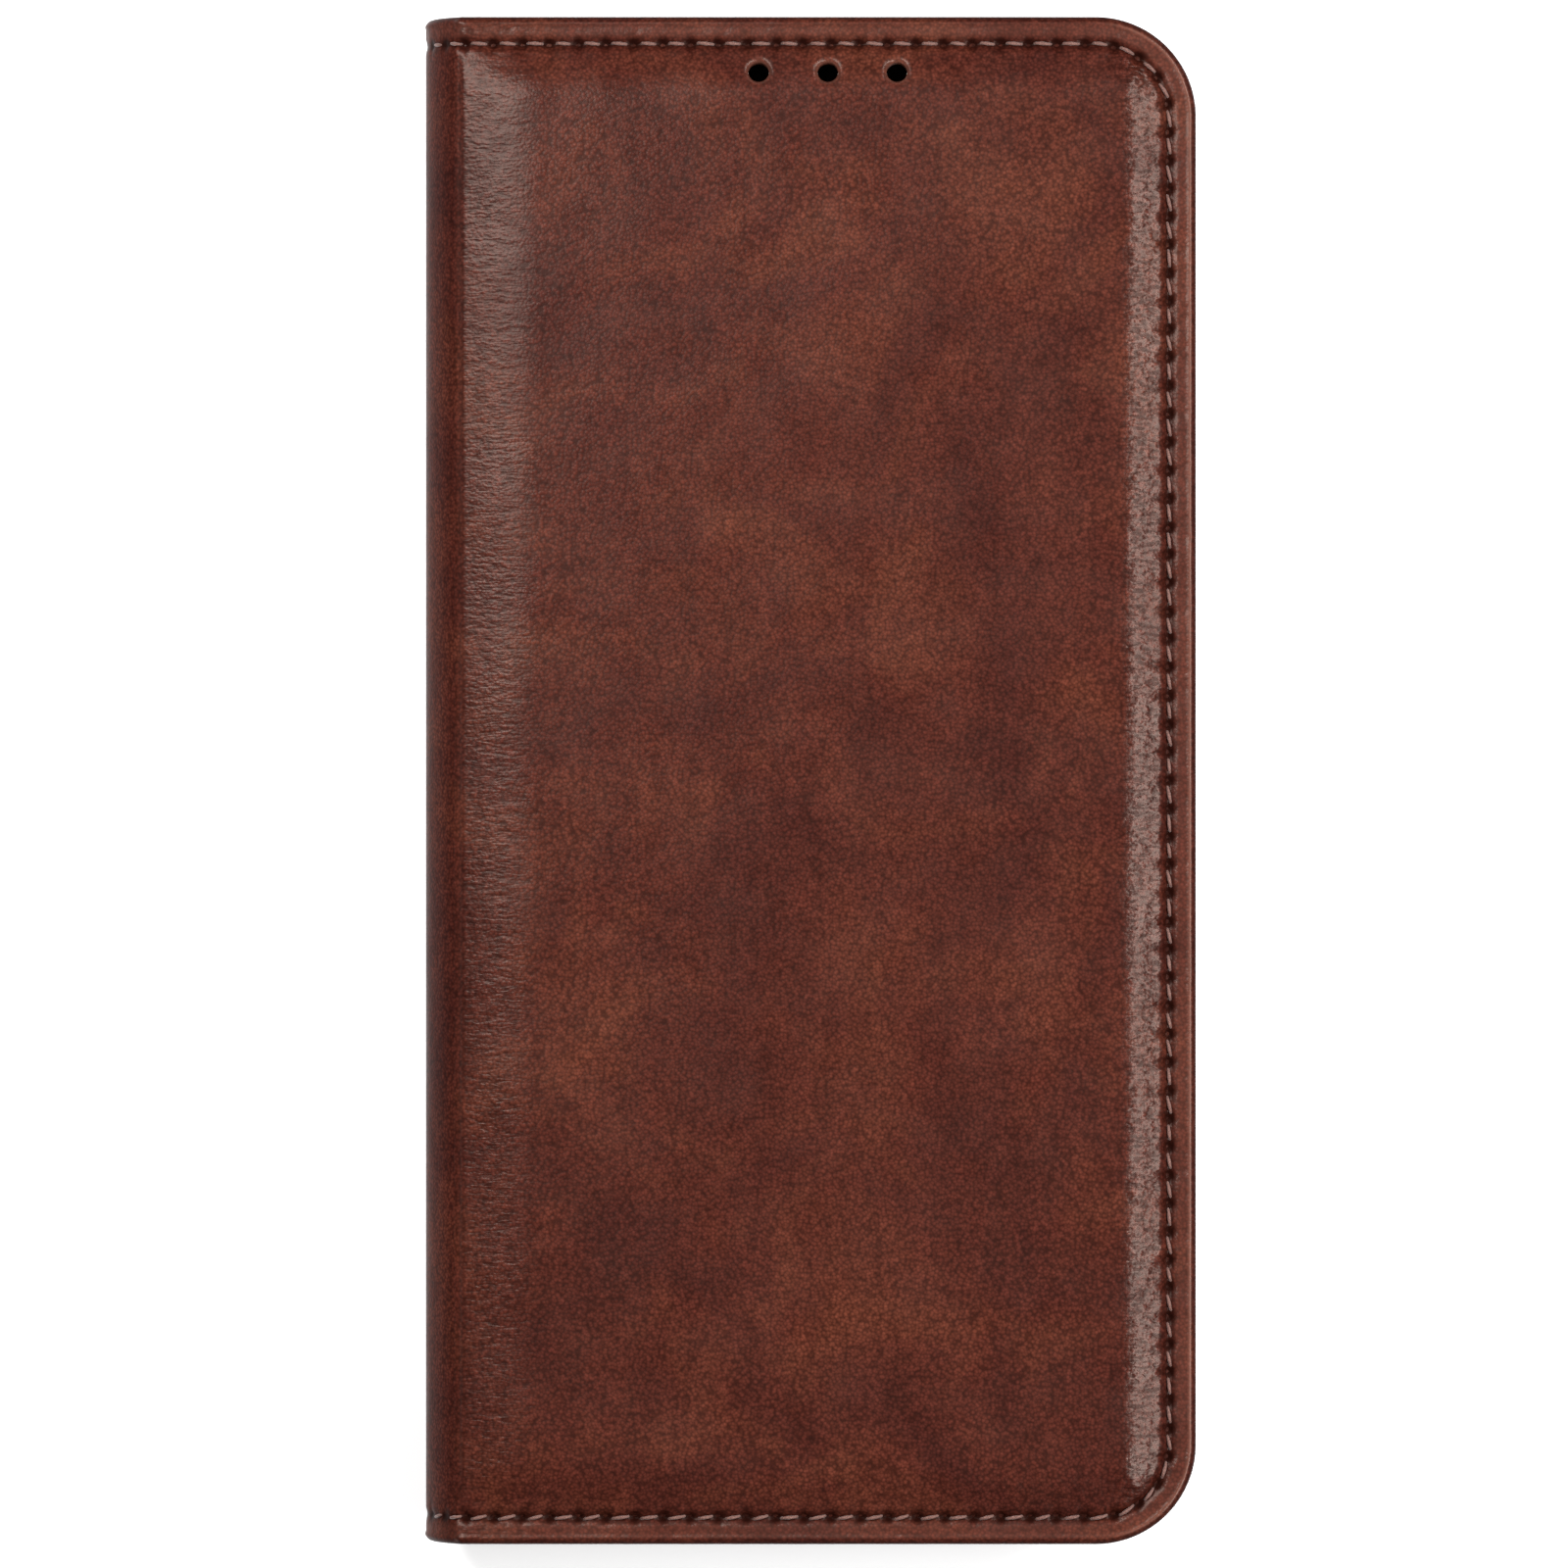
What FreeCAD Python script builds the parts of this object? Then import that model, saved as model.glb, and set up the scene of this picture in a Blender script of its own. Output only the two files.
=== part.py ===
import FreeCAD, Part
import Sketcher
import math
import os
import re

# A closed, book-style phone wallet case, in millimetres.
# It lies on its back cover: +X points to the free edge of the flap, the spine is on the -X side,
# +Y points to the phone's top and +Z goes from the back cover to the front flap.
# The origin is the centre of the case's underside, on the surface that it lies on.

SIZES = {
    # the phone that the case is made for
    "phone_width": 74,
    "phone_length": 161,
    "phone_thickness": 7.9,
    "phone_corner": 9,
    # moulded shell
    "shell_wall": 2,
    "shell_floor": 1,
    "lip_height": 0.9,
    "lip_overhang": 0.8,
    "shell_edge_round": 0.6,
    # covers
    "cover_margin": 1.5,
    "cover_corner": 11,
    "leather_thickness": 0.8,
    "board_thickness": 1,
    "lining_thickness": 0.4,
    "lining_inset": 0.6,
    "flange_width": 4.2,
    "flange_thickness": 0.4,
    "foam_thickness": 0.9,
    "pad_edge_round": 0.7,
    "bond_thickness": 0.45,
    "bond_inset": 5,
    "flap_gap": 0.5,
    # spine and its two creases
    "spine_bulge": 3.9,
    "stiffener_thickness": 0.4,
    "stiffener_setback": 3.2,
    "groove_setback": 2.2,
    "spine_lining_setback": 2.8,
    "hinge_level": 1.15,
    "bead_radius": 0.75,
    "crease_bevel": 1,
    "crease_gap": 0.3,
    # stitching
    "seam_inset": 3,
    "groove_width": 0.9,
    "groove_depth": 0.45,
    "thread_diameter": 0.4,
    "stitch_length": 2.3,
    "stitch_pitch": 3.1,
    "pocket_seam_inset": 1,
    "pocket_seam_stop": 2.25,
    # sound holes in the flap
    "sound_hole": 2.3,
    "sound_hole_pitch": 7.6,
    "sound_hole_inset": 6.1,
    # pockets inside the flap
    "panel_thickness": 0.4,
    "panel_inset": 1,
    "cash_edge": 3,
    "card_length": 85.6,
    "card_clearance": 3.2,
    "card_edge": 13,
    "card_step": 9,
    "card_shift": 7,
    # camera window and its collar
    "camera_width": 25,
    "camera_length": 36,
    "camera_corner": 7,
    "camera_side": 17.5,
    "camera_top": 23.5,
    "collar_wall": 2,
    "collar_recess": 0.3,
    # openings in the end walls of the shell
    "port_width": 14,
    "port_height": 6.4,
    "port_corner": 3,
    "jack_diameter": 6.4,
    "jack_offset": 21,
    "speaker_width": 13,
    "speaker_height": 3,
    "speaker_corner": 1.4,
    "speaker_offset": 20,
    "microphone_hole": 2,
    "microphone_offset": 12,
    # side buttons
    "volume_length": 24,
    "volume_drop": 44.5,
    "power_length": 11,
    "power_drop": 68.5,
    "button_height": 4,
    "button_corner": 1.6,
    "button_travel": 0.4,
    "button_flange": 1,
    "button_flange_thickness": 0.5,
    "button_edge_round": 0.3,
    "web_gap": 0.25,
    # clearance between pieces that move or pass through each other
    "fit_gap": 0.3,
    # how far a cut starts before the material and ends past it
    "overcut": 1,
    # closing magnets
    "magnet_length": 20,
    "magnet_width": 5,
    "magnet_thickness": 1,
    "magnet_drop": 20,
}

# Places and sizes that follow from the ones above.
PLACES = {
    "cover_width": "phone_width + 2 * shell_wall + 2 * cover_margin",
    "cover_length": "phone_length + 2 * shell_wall + 2 * cover_margin",
    "half_length": "cover_length / 2",
    "free_edge": "(cover_width + spine_bulge) / 2",
    "crease": "free_edge - cover_width",
    "phone_middle": "free_edge - cover_width / 2",
    "phone_left": "phone_middle - phone_width / 2",
    "phone_right": "phone_middle + phone_width / 2",
    "phone_end": "phone_length / 2",
    "shell_corner": "phone_corner + shell_wall",
    # heights, from the back cover up
    "back_board_top": "leather_thickness + board_thickness",
    "back_lining_top": "back_board_top + lining_thickness",
    "shell_low": "back_lining_top + bond_thickness",
    "bay_low": "shell_low + shell_floor",
    "bay_top": "bay_low + phone_thickness",
    "lip_top": "bay_top + lip_height",
    "panels_low": "lip_top + flap_gap",
    "cash_low": "panels_low + 3 * panel_thickness",
    "front_lining_low": "cash_low + panel_thickness",
    "front_board_low": "front_lining_low + lining_thickness",
    "front_skin_low": "front_board_low + board_thickness",
    "rim_top": "front_skin_low + leather_thickness",
    "side_middle": "bay_low + phone_thickness / 2",
    # spine arc: it runs from one cover's outer face to the other's and bulges past the creases
    "spine_radius": "((rim_top / 2) ^ 2 + spine_bulge ^ 2) / (2 * spine_bulge)",
    "spine_centre": "crease - spine_bulge + spine_radius",
    "spine_level": "rim_top / 2",
    "hinge_line": "spine_centre - sqrt(spine_radius ^ 2 - (spine_level - hinge_level) ^ 2)",
    "spine_inside": "spine_radius - leather_thickness",
    # stitching
    "thread_radius": "thread_diameter / 2",
    "seam_corner": "cover_corner - seam_inset",
    "groove_outside": "seam_inset - groove_width / 2",
    "groove_inside": "seam_inset + groove_width / 2",
    "board_corner": "cover_corner - leather_thickness",
    "foam_inset": "groove_inside + leather_thickness",
    # pockets
    "card_half": "card_length / 2 + card_clearance",
    # side buttons: a flange inside the wall keeps each pad in its slot
    "volume_place": "phone_end - volume_drop",
    "power_place": "phone_end - power_drop",
    "flange_out": "phone_right + button_travel + button_flange_thickness",
    "web_in": "flange_out + web_gap",
    # camera window
    "camera_middle": "phone_right - camera_side",
    "camera_level": "phone_end - camera_top",
    # magnets stand in pairs, near the top and the bottom; those in the flap lie inside the turned-in edge
    "magnet_place": "phone_end - magnet_drop",
    "flap_magnet_middle": "free_edge - leather_thickness - flange_width - magnet_width / 2 - fit_gap",
}

WORD = re.compile(r"[a-z]+(?:_[a-z]+)*")


def formula(text):
    """Spell a size or place in cells of the sheet."""

    def swap(match):
        word = match.group(0)
        if word in PLACES:
            return "(" + formula(PLACES[word]) + ")"
        if word in SIZES:
            return "Sizes." + word
        return word

    return WORD.sub(swap, str(text))


doc = FreeCAD.newDocument("PhoneWalletCase")
sheet = doc.addObject("Spreadsheet::Sheet", "Sizes")
for row, (name, number) in enumerate(SIZES.items(), start=1):
    sheet.set(f"A{row}", name)
    sheet.set(f"B{row}", str(number))
    sheet.setAlias(f"B{row}", name)
doc.recompute()


def value(text):
    """Number that a formula gives with the sheet's present sizes."""
    result = sheet.evalExpression(formula(text))
    return float(getattr(result, "Value", result))


# ---------------------------------------------------------------- sketches and features

def new_body(label):
    body = doc.addObject("PartDesign::Body", label)
    body.Label = label
    return body


def new_sketch(body, plane, offset="0"):
    """Empty sketch on one of the body's origin planes, moved along its normal."""
    sketch = body.newObject("Sketcher::SketchObject", body.Label + "_sketch")
    support = [part for part in body.Origin.OriginFeatures if part.Role == plane][0]
    sketch.AttachmentSupport = (support, [""])
    sketch.MapMode = "FlatFace"
    sketch.setExpression("AttachmentOffset.Base.z", formula(offset))
    return sketch


def bind(sketch, kind, *arguments, size):
    """Add a constraint whose value follows the sheet."""
    number = sketch.addConstraint(Sketcher.Constraint(kind, *arguments, value(size)))
    sketch.setExpression(f"Constraints[{number}]", formula(size))


def add_rectangle(sketch, left, right, low, high, left_corner=None, right_corner=None):
    """Rectangle whose corners on the left and on the right may be rounded."""
    xs = (value(left), value(right))
    ys = (value(low), value(high))
    radii = [0 if corner is None else value(corner) for corner in (left_corner, right_corner)]
    near, far = radii
    runs = [
        ((xs[0] + near, ys[0]), (xs[1] - far, ys[0])),
        ((xs[1], ys[0] + far), (xs[1], ys[1] - far)),
        ((xs[1] - far, ys[1]), (xs[0] + near, ys[1])),
        ((xs[0], ys[1] - near), (xs[0], ys[0] + near)),
    ]
    lines = [
        sketch.addGeometry(Part.LineSegment(FreeCAD.Vector(*start), FreeCAD.Vector(*end)))
        for start, end in runs
    ]
    for line, kind, size in zip(lines, ("DistanceY", "DistanceX") * 2, (low, right, high, left)):
        bind(sketch, kind, -1, 1, line, 1, size=size)
        sketch.addConstraint(Sketcher.Constraint("Horizontal" if kind == "DistanceY" else "Vertical", line))
    corners = (right_corner, right_corner, left_corner, left_corner)
    for index, corner in enumerate(corners):
        before = lines[index]
        after = lines[(index + 1) % 4]
        if corner is None:
            sketch.addConstraint(Sketcher.Constraint("Coincident", before, 2, after, 1))
            continue
        radius = value(corner)
        end = sketch.Geometry[before].EndPoint
        inward = FreeCAD.Vector(*[(0, 1), (-1, 0), (0, -1), (1, 0)][index], 0)
        circle = Part.Circle(end + inward * radius, FreeCAD.Vector(0, 0, 1), radius)
        turn = math.radians(90 * index - 90)
        arc = sketch.addGeometry(Part.ArcOfCircle(circle, turn, turn + math.pi / 2))
        sketch.addConstraint(Sketcher.Constraint("Tangent", before, 2, arc, 1))
        sketch.addConstraint(Sketcher.Constraint("Tangent", arc, 2, after, 1))
        bind(sketch, "Radius", arc, size=corner)


def add_polygon(sketch, points):
    """Closed outline of straight sides, each corner given as two formulas."""
    places = [FreeCAD.Vector(value(across), value(up), 0) for across, up in points]
    lines = [
        sketch.addGeometry(Part.LineSegment(start, places[(index + 1) % len(places)]))
        for index, start in enumerate(places)
    ]
    for index, line in enumerate(lines):
        following = lines[(index + 1) % len(lines)]
        sketch.addConstraint(Sketcher.Constraint("Coincident", line, 2, following, 1))
        bind(sketch, "DistanceX", -1, 1, line, 1, size=points[index][0])
        bind(sketch, "DistanceY", -1, 1, line, 1, size=points[index][1])


def add_circle(sketch, across, up, diameter):
    centre = FreeCAD.Vector(value(across), value(up), 0)
    circle = sketch.addGeometry(Part.Circle(centre, FreeCAD.Vector(0, 0, 1), value(diameter) / 2))
    bind(sketch, "DistanceX", -1, 1, circle, 3, size=across)
    bind(sketch, "DistanceY", -1, 1, circle, 3, size=up)
    bind(sketch, "Diameter", circle, size=diameter)


def add_spine_band(sketch, outer, inner, setback):
    """Part of the spine's ring between two radii, cut off square where its outside reaches the setback."""
    centre = FreeCAD.Vector(value("spine_centre"), value("spine_level"), 0)
    half = math.asin(value(f"spine_level - ({setback})") / value(outer))
    arcs = []
    for size in (outer, inner):
        circle = Part.Circle(centre, FreeCAD.Vector(0, 0, 1), value(size))
        arc = sketch.addGeometry(Part.ArcOfCircle(circle, math.pi - half, math.pi + half))
        bind(sketch, "DistanceX", -1, 1, arc, 3, size="spine_centre")
        bind(sketch, "DistanceY", -1, 1, arc, 3, size="spine_level")
        bind(sketch, "Radius", arc, size=size)
        arcs.append(arc)
    for point, size in ((1, f"rim_top - ({setback})"), (2, setback)):
        ends = [sketch.getPoint(arc, point) for arc in arcs]
        line = sketch.addGeometry(Part.LineSegment(*ends))
        sketch.addConstraint(Sketcher.Constraint("Perpendicular", line, 1, arcs[0], point))
        sketch.addConstraint(Sketcher.Constraint("Coincident", line, 2, arcs[1], point))
        bind(sketch, "DistanceY", -1, 1, line, 1, size=size)


def add_material(sketch, length, both_sides=False):
    body = sketch.getParent()
    feature = body.newObject("PartDesign::Pad", body.Label + "_pad")
    feature.Profile = sketch
    feature.setExpression("Length", formula(length))
    feature.Midplane = both_sides
    doc.recompute()
    return feature


def cut_away(sketch, length, both_sides=False):
    """Cut along the sketch's normal, or equally to both sides of it, and make sure that it cut."""
    body = sketch.getParent()
    before = body.Shape.Volume
    feature = body.newObject("PartDesign::Pocket", body.Label + "_cut")
    feature.Profile = sketch
    feature.setExpression("Length", formula(length))
    feature.Midplane = both_sides
    feature.Reversed = not both_sides
    doc.recompute()
    if body.Shape.Volume > before - 1e-6:
        raise ValueError(body.Label + ": a cut removed nothing")
    return feature


def round_edges(body, side, level, radius):
    """Round the edges of a body that lie in one plane, given by its axis and its level."""
    base = body.Tip
    place = value(level)
    names = []
    for index, edge in enumerate(base.Shape.Edges, start=1):
        box = edge.BoundBox
        low = getattr(box, side + "Min")
        high = getattr(box, side + "Max")
        if abs(low - place) < 1e-4 and abs(high - place) < 1e-4:
            names.append(f"Edge{index}")
    feature = body.newObject("PartDesign::Fillet", body.Label + "_round")
    feature.Base = (base, names)
    feature.setExpression("Radius", formula(radius))
    doc.recompute()
    return feature


def slab(label, low, thickness, left, right, half, left_corner=None, right_corner=None, shift="0"):
    """Flat piece parallel to the covers, between two heights."""
    body = new_body(label)
    sketch = new_sketch(body, "XY_Plane", low)
    lower = f"{shift} - ({half})"
    upper = f"{shift} + ({half})"
    add_rectangle(sketch, left, right, lower, upper, left_corner, right_corner)
    add_material(sketch, thickness)
    return body


def cut_rectangle(body, low, depth, left, right, half, left_corner=None, right_corner=None):
    sketch = new_sketch(body, "XY_Plane", low)
    add_rectangle(sketch, left, right, f"0 - ({half})", half, left_corner, right_corner)
    return cut_away(sketch, depth)


def cut_window(body, low, depth, clearance):
    """Camera window, larger than the collar's inside by a clearance."""
    sketch = new_sketch(body, "XY_Plane", low)
    add_camera_outline(sketch, clearance)
    return cut_away(sketch, depth)


def add_camera_outline(sketch, clearance):
    add_rectangle(
        sketch,
        f"camera_middle - camera_width / 2 - ({clearance})",
        f"camera_middle + camera_width / 2 + {clearance}",
        f"camera_level - camera_length / 2 - ({clearance})",
        f"camera_level + camera_length / 2 + {clearance}",
        f"camera_corner + {clearance}",
        f"camera_corner + {clearance}",
    )


def cut_sound_holes(body, low, depth):
    """Three holes in a row near the flap's top edge."""
    sketch = new_sketch(body, "XY_Plane", low)
    for step in (-1, 0, 1):
        across = f"phone_middle + {step} * sound_hole_pitch"
        add_circle(sketch, across, "half_length - sound_hole_inset", "sound_hole")
    return cut_away(sketch, depth)


# ---------------------------------------------------------------- covers

WINDOW_CLEARANCE = "collar_wall + fit_gap"


def cover_leather(label, low, mouth_low, cavity_low, groove_low, bevel):
    """Leather skin with its edges turned round the board on three sides, and a groove for the seam."""
    body = slab(
        label, low, "leather_thickness + board_thickness",
        "crease", "free_edge", "half_length", None, "cover_corner",
    )
    mouth = "leather_thickness + flange_width"
    cut_rectangle(
        body, mouth_low, "board_thickness", "crease - cover_margin", f"free_edge - ({mouth})",
        f"half_length - ({mouth})", None, f"cover_corner - ({mouth})",
    )
    cut_rectangle(
        body, cavity_low, "board_thickness - flange_thickness", "crease - cover_margin",
        "free_edge - leather_thickness", "half_length - leather_thickness", None, "board_corner",
    )
    groove = new_sketch(body, "XY_Plane", groove_low)
    for inset, past in (("groove_outside", 2), ("groove_inside", 1)):
        add_rectangle(
            groove, f"crease - {past} * cover_margin", f"free_edge - ({inset})",
            f"{inset} - half_length", f"half_length - ({inset})", None, f"cover_corner - ({inset})",
        )
    cut_away(groove, "groove_depth")
    edge = new_sketch(body, "XZ_Plane")
    add_polygon(edge, bevel)
    cut_away(edge, "cover_length + cover_margin", both_sides=True)
    return body


def cover_board(label, low, rebate_low):
    """Stiff board with a rebate round three sides for the turned-in leather."""
    body = slab(
        label, low, "board_thickness", "crease + crease_gap", "free_edge - leather_thickness",
        "half_length - leather_thickness", None, "board_corner",
    )
    rebate = new_sketch(body, "XY_Plane", rebate_low)
    inset = "leather_thickness + flange_width"
    add_rectangle(
        rebate, "crease - cover_margin", "free_edge", "0 - half_length", "half_length", None, "cover_corner",
    )
    add_rectangle(
        rebate, "crease - cover_margin / 2", f"free_edge - ({inset})", f"{inset} - half_length",
        f"half_length - ({inset})", None, f"cover_corner - ({inset})",
    )
    cut_away(rebate, "flange_thickness")
    return body


def inner_sheet(label, low, thickness, left, inset):
    """Thin sheet inside a cover, reaching almost to its three free sides."""
    return slab(
        label, low, thickness, left, f"free_edge - ({inset})", f"half_length - ({inset})",
        None, f"cover_corner - ({inset})",
    )


def build_back_cover():
    bevel = [("crease - overcut", "0 - overcut"), ("crease + 2 * crease_bevel", "0 - overcut"),
             ("crease + crease_bevel", "0"), ("crease", "leather_thickness"),
             ("crease - overcut", "leather_thickness")]
    leather = cover_leather(
        "back_cover_leather", "0", "leather_thickness", "leather_thickness", "0", bevel,
    )
    board = cover_board("back_board", "leather_thickness", "back_board_top - flange_thickness")
    lining = inner_sheet(
        "back_lining", "back_board_top", "lining_thickness", "crease + crease_gap", "lining_inset",
    )
    for body in (leather, board, lining):
        cut_window(body, "0 - overcut", "back_lining_top + 2 * overcut", WINDOW_CLEARANCE)
    return [leather, board, lining]


def build_bond_pad():
    body = slab(
        "shell_bond_pad", "back_lining_top", "bond_thickness", "phone_left + bond_inset",
        "phone_right - bond_inset", "phone_end - bond_inset", "phone_corner", "phone_corner",
    )
    cut_window(body, "back_lining_top - overcut", "bond_thickness + 2 * overcut", WINDOW_CLEARANCE)
    return [body]


def build_front_cover():
    bevel = [("crease - overcut", "rim_top + overcut"), ("crease - overcut", "front_skin_low"),
             ("crease", "front_skin_low"), ("crease + crease_bevel", "rim_top"),
             ("crease + 2 * crease_bevel", "rim_top + overcut")]
    leather = cover_leather(
        "front_cover_leather", "front_board_low", "front_board_low",
        "front_board_low + flange_thickness", "rim_top - groove_depth", bevel,
    )
    raised = new_sketch(leather, "XY_Plane", "rim_top - groove_depth")
    add_rectangle(
        raised, "crease + crease_bevel", "free_edge - groove_inside", "groove_inside - half_length",
        "half_length - groove_inside", "leather_thickness", "cover_corner - groove_inside",
    )
    add_material(raised, "foam_thickness + groove_depth")
    round_edges(leather, "Z", "rim_top + foam_thickness", "pad_edge_round")
    foam_left = "crease + crease_bevel + leather_thickness"
    foam_corner = "cover_corner - foam_inset"
    cut_rectangle(
        leather, "front_skin_low", "foam_thickness", foam_left, "free_edge - foam_inset",
        "half_length - foam_inset", None, foam_corner,
    )
    foam = slab(
        "front_foam_pad", "front_skin_low", "foam_thickness", foam_left, "free_edge - foam_inset",
        "half_length - foam_inset", None, foam_corner,
    )
    board = cover_board("front_board", "front_board_low", "front_board_low")
    for side in (-1, 1):
        pocket = new_sketch(board, "XY_Plane", "front_board_low")
        add_flap_magnet_outline(pocket, side)
        cut_away(pocket, "board_thickness")
    lining = inner_sheet(
        "front_lining", "front_lining_low", "lining_thickness", "crease + crease_gap", "lining_inset",
    )
    cash = inner_sheet(
        "cash_pocket_panel", "cash_low", "panel_thickness", "crease + cash_edge", "panel_inset",
    )
    for body in (leather, foam, board, lining, cash):
        cut_sound_holes(body, "cash_low", "rim_top + foam_thickness - cash_low + overcut")
    return [leather, foam, board, lining, cash]


def build_card_panels():
    """Three overlapping card slots, each open towards the spine."""
    panels = []
    for order in (1, 2, 3):
        panels.append(slab(
            f"card_slot_panel_{order}", f"cash_low - {order} * panel_thickness", "panel_thickness",
            f"crease + card_edge + {order - 1} * card_step", "free_edge - panel_inset",
            "card_half", shift="0 - card_shift",
        ))
    return panels


# ---------------------------------------------------------------- spine

def build_spine():
    leather = new_body("spine_leather")
    band = new_sketch(leather, "XZ_Plane")
    add_spine_band(band, "spine_radius", "spine_inside", "hinge_level")
    add_material(band, "cover_length", both_sides=True)
    beads = new_sketch(leather, "XZ_Plane")
    for level in ("hinge_level", "rim_top - hinge_level"):
        add_circle(beads, "hinge_line", level, "2 * bead_radius")
    add_material(beads, "cover_length", both_sides=True)
    for side in (-1, 1):
        middle = f"{side} * (half_length - seam_inset) - groove_width / 2"
        groove = new_sketch(leather, "XZ_Plane", middle)
        add_spine_band(groove, "spine_radius + overcut", "spine_radius - groove_depth", "groove_setback")
        cut_away(groove, "groove_width")

    stiffener = new_body("spine_stiffener")
    core = new_sketch(stiffener, "XZ_Plane")
    add_spine_band(core, "spine_inside", "spine_inside - stiffener_thickness", "stiffener_setback")
    add_material(core, "cover_length - 2 * lining_inset", both_sides=True)

    lining = new_body("spine_lining")
    outer = new_sketch(lining, "XZ_Plane")
    inside = "spine_inside - stiffener_thickness - lining_thickness"
    add_spine_band(outer, "spine_inside", inside, "spine_lining_setback")
    add_material(outer, "cover_length - 2 * lining_inset", both_sides=True)
    recess = new_sketch(lining, "XZ_Plane")
    add_spine_band(recess, "spine_inside", "spine_inside - stiffener_thickness", "stiffener_setback")
    cut_away(recess, "cover_length", both_sides=True)
    return [leather, stiffener, lining]


# ---------------------------------------------------------------- phone shell, buttons and magnets

def build_shell():
    """Soft moulded tray: floor, four walls, a lip that snaps over the phone and a collar in the window."""
    shell = slab(
        "phone_shell", "shell_low", "lip_top - shell_low", "phone_left - shell_wall",
        "phone_right + shell_wall", "phone_end + shell_wall", "shell_corner", "shell_corner",
    )
    for level in ("shell_low", "lip_top"):
        round_edges(shell, "Z", level, "shell_edge_round")
    collar = new_sketch(shell, "XY_Plane", "collar_recess")
    add_camera_outline(collar, "collar_wall")
    add_material(collar, "bay_low - collar_recess")
    cut_rectangle(
        shell, "bay_low", "phone_thickness", "phone_left", "phone_right", "phone_end",
        "phone_corner", "phone_corner",
    )
    cut_rectangle(
        shell, "bay_low", "phone_thickness + lip_height + overcut", "phone_left + lip_overhang",
        "phone_right - lip_overhang", "phone_end - lip_overhang",
        "phone_corner - lip_overhang", "phone_corner - lip_overhang",
    )
    cut_window(shell, "0 - overcut", "bay_low + 2 * overcut", "0")
    cut_end_openings(shell)
    for button in ("volume", "power"):
        slot = new_sketch(shell, "YZ_Plane", "phone_right - shell_wall / 2")
        add_button_outline(slot, button, "fit_gap")
        cut_away(slot, "2 * shell_wall")
        recess = new_sketch(shell, "YZ_Plane", "phone_right - shell_wall / 2")
        add_button_outline(recess, button, "button_flange + fit_gap")
        cut_away(recess, "web_in - phone_right + shell_wall / 2")
    for side in (-1, 1):
        pocket = new_sketch(shell, "YZ_Plane", "phone_right + (shell_wall - magnet_thickness) / 2")
        add_wall_magnet_outline(pocket, side)
        cut_away(pocket, "magnet_thickness")
    return [shell]


def cut_end_openings(shell):
    """Charging port, jack and speaker slot in the lower wall, microphone hole in the upper one."""
    lower = new_sketch(shell, "XZ_Plane", "phone_end - shell_wall")
    add_side_opening(lower, "phone_middle", "port_width", "port_height", "port_corner")
    add_side_opening(
        lower, "phone_middle + speaker_offset", "speaker_width", "speaker_height", "speaker_corner",
    )
    add_circle(lower, "phone_middle - jack_offset", "side_middle", "jack_diameter")
    cut_away(lower, "3 * shell_wall")
    upper = new_sketch(shell, "XZ_Plane", "0 - phone_end - 2 * shell_wall")
    add_circle(upper, "phone_middle - microphone_offset", "side_middle", "microphone_hole")
    cut_away(upper, "3 * shell_wall")


def add_side_opening(sketch, middle, width, height, corner):
    add_rectangle(
        sketch, f"{middle} - {width} / 2", f"{middle} + {width} / 2",
        f"side_middle - {height} / 2", f"side_middle + {height} / 2", corner, corner,
    )


def add_button_outline(sketch, button, clearance):
    half = f"({button}_length / 2 + {clearance})"
    rise = f"(button_height / 2 + {clearance})"
    add_rectangle(
        sketch, f"{button}_place - {half}", f"{button}_place + {half}",
        f"side_middle - {rise}", f"side_middle + {rise}",
        f"button_corner + {clearance}", f"button_corner + {clearance}",
    )


def build_button(button):
    """Pad that slides through its slot, with a flange that stays inside the wall."""
    body = new_body(button + "_button_pad")
    flange = new_sketch(body, "YZ_Plane", "phone_right + button_travel")
    add_button_outline(flange, button, "button_flange")
    add_material(flange, "button_flange_thickness")
    stem = new_sketch(body, "YZ_Plane", "phone_right + button_travel")
    add_button_outline(stem, button, "0")
    add_material(stem, "shell_wall")
    round_edges(body, "X", "phone_right + shell_wall + button_travel", "button_edge_round")
    return [body]


def add_wall_magnet_outline(sketch, side):
    add_rectangle(
        sketch, f"{side} * magnet_place - magnet_length / 2", f"{side} * magnet_place + magnet_length / 2",
        "side_middle - magnet_width / 2", "side_middle + magnet_width / 2",
    )


def add_flap_magnet_outline(sketch, side):
    add_rectangle(
        sketch, "flap_magnet_middle - magnet_width / 2", "flap_magnet_middle + magnet_width / 2",
        f"{side} * magnet_place - magnet_length / 2", f"{side} * magnet_place + magnet_length / 2",
    )


def build_magnets():
    magnets = []
    for side, name in ((-1, "lower"), (1, "upper")):
        in_wall = new_body("shell_magnet_" + name)
        sketch = new_sketch(in_wall, "YZ_Plane", "phone_right + (shell_wall - magnet_thickness) / 2")
        add_wall_magnet_outline(sketch, side)
        add_material(sketch, "magnet_thickness")
        in_flap = new_body("flap_magnet_" + name)
        sketch = new_sketch(in_flap, "XY_Plane", "front_board_low")
        add_flap_magnet_outline(sketch, side)
        add_material(sketch, "board_thickness")
        magnets += [in_wall, in_flap]
    return magnets


# ---------------------------------------------------------------- thread

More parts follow.
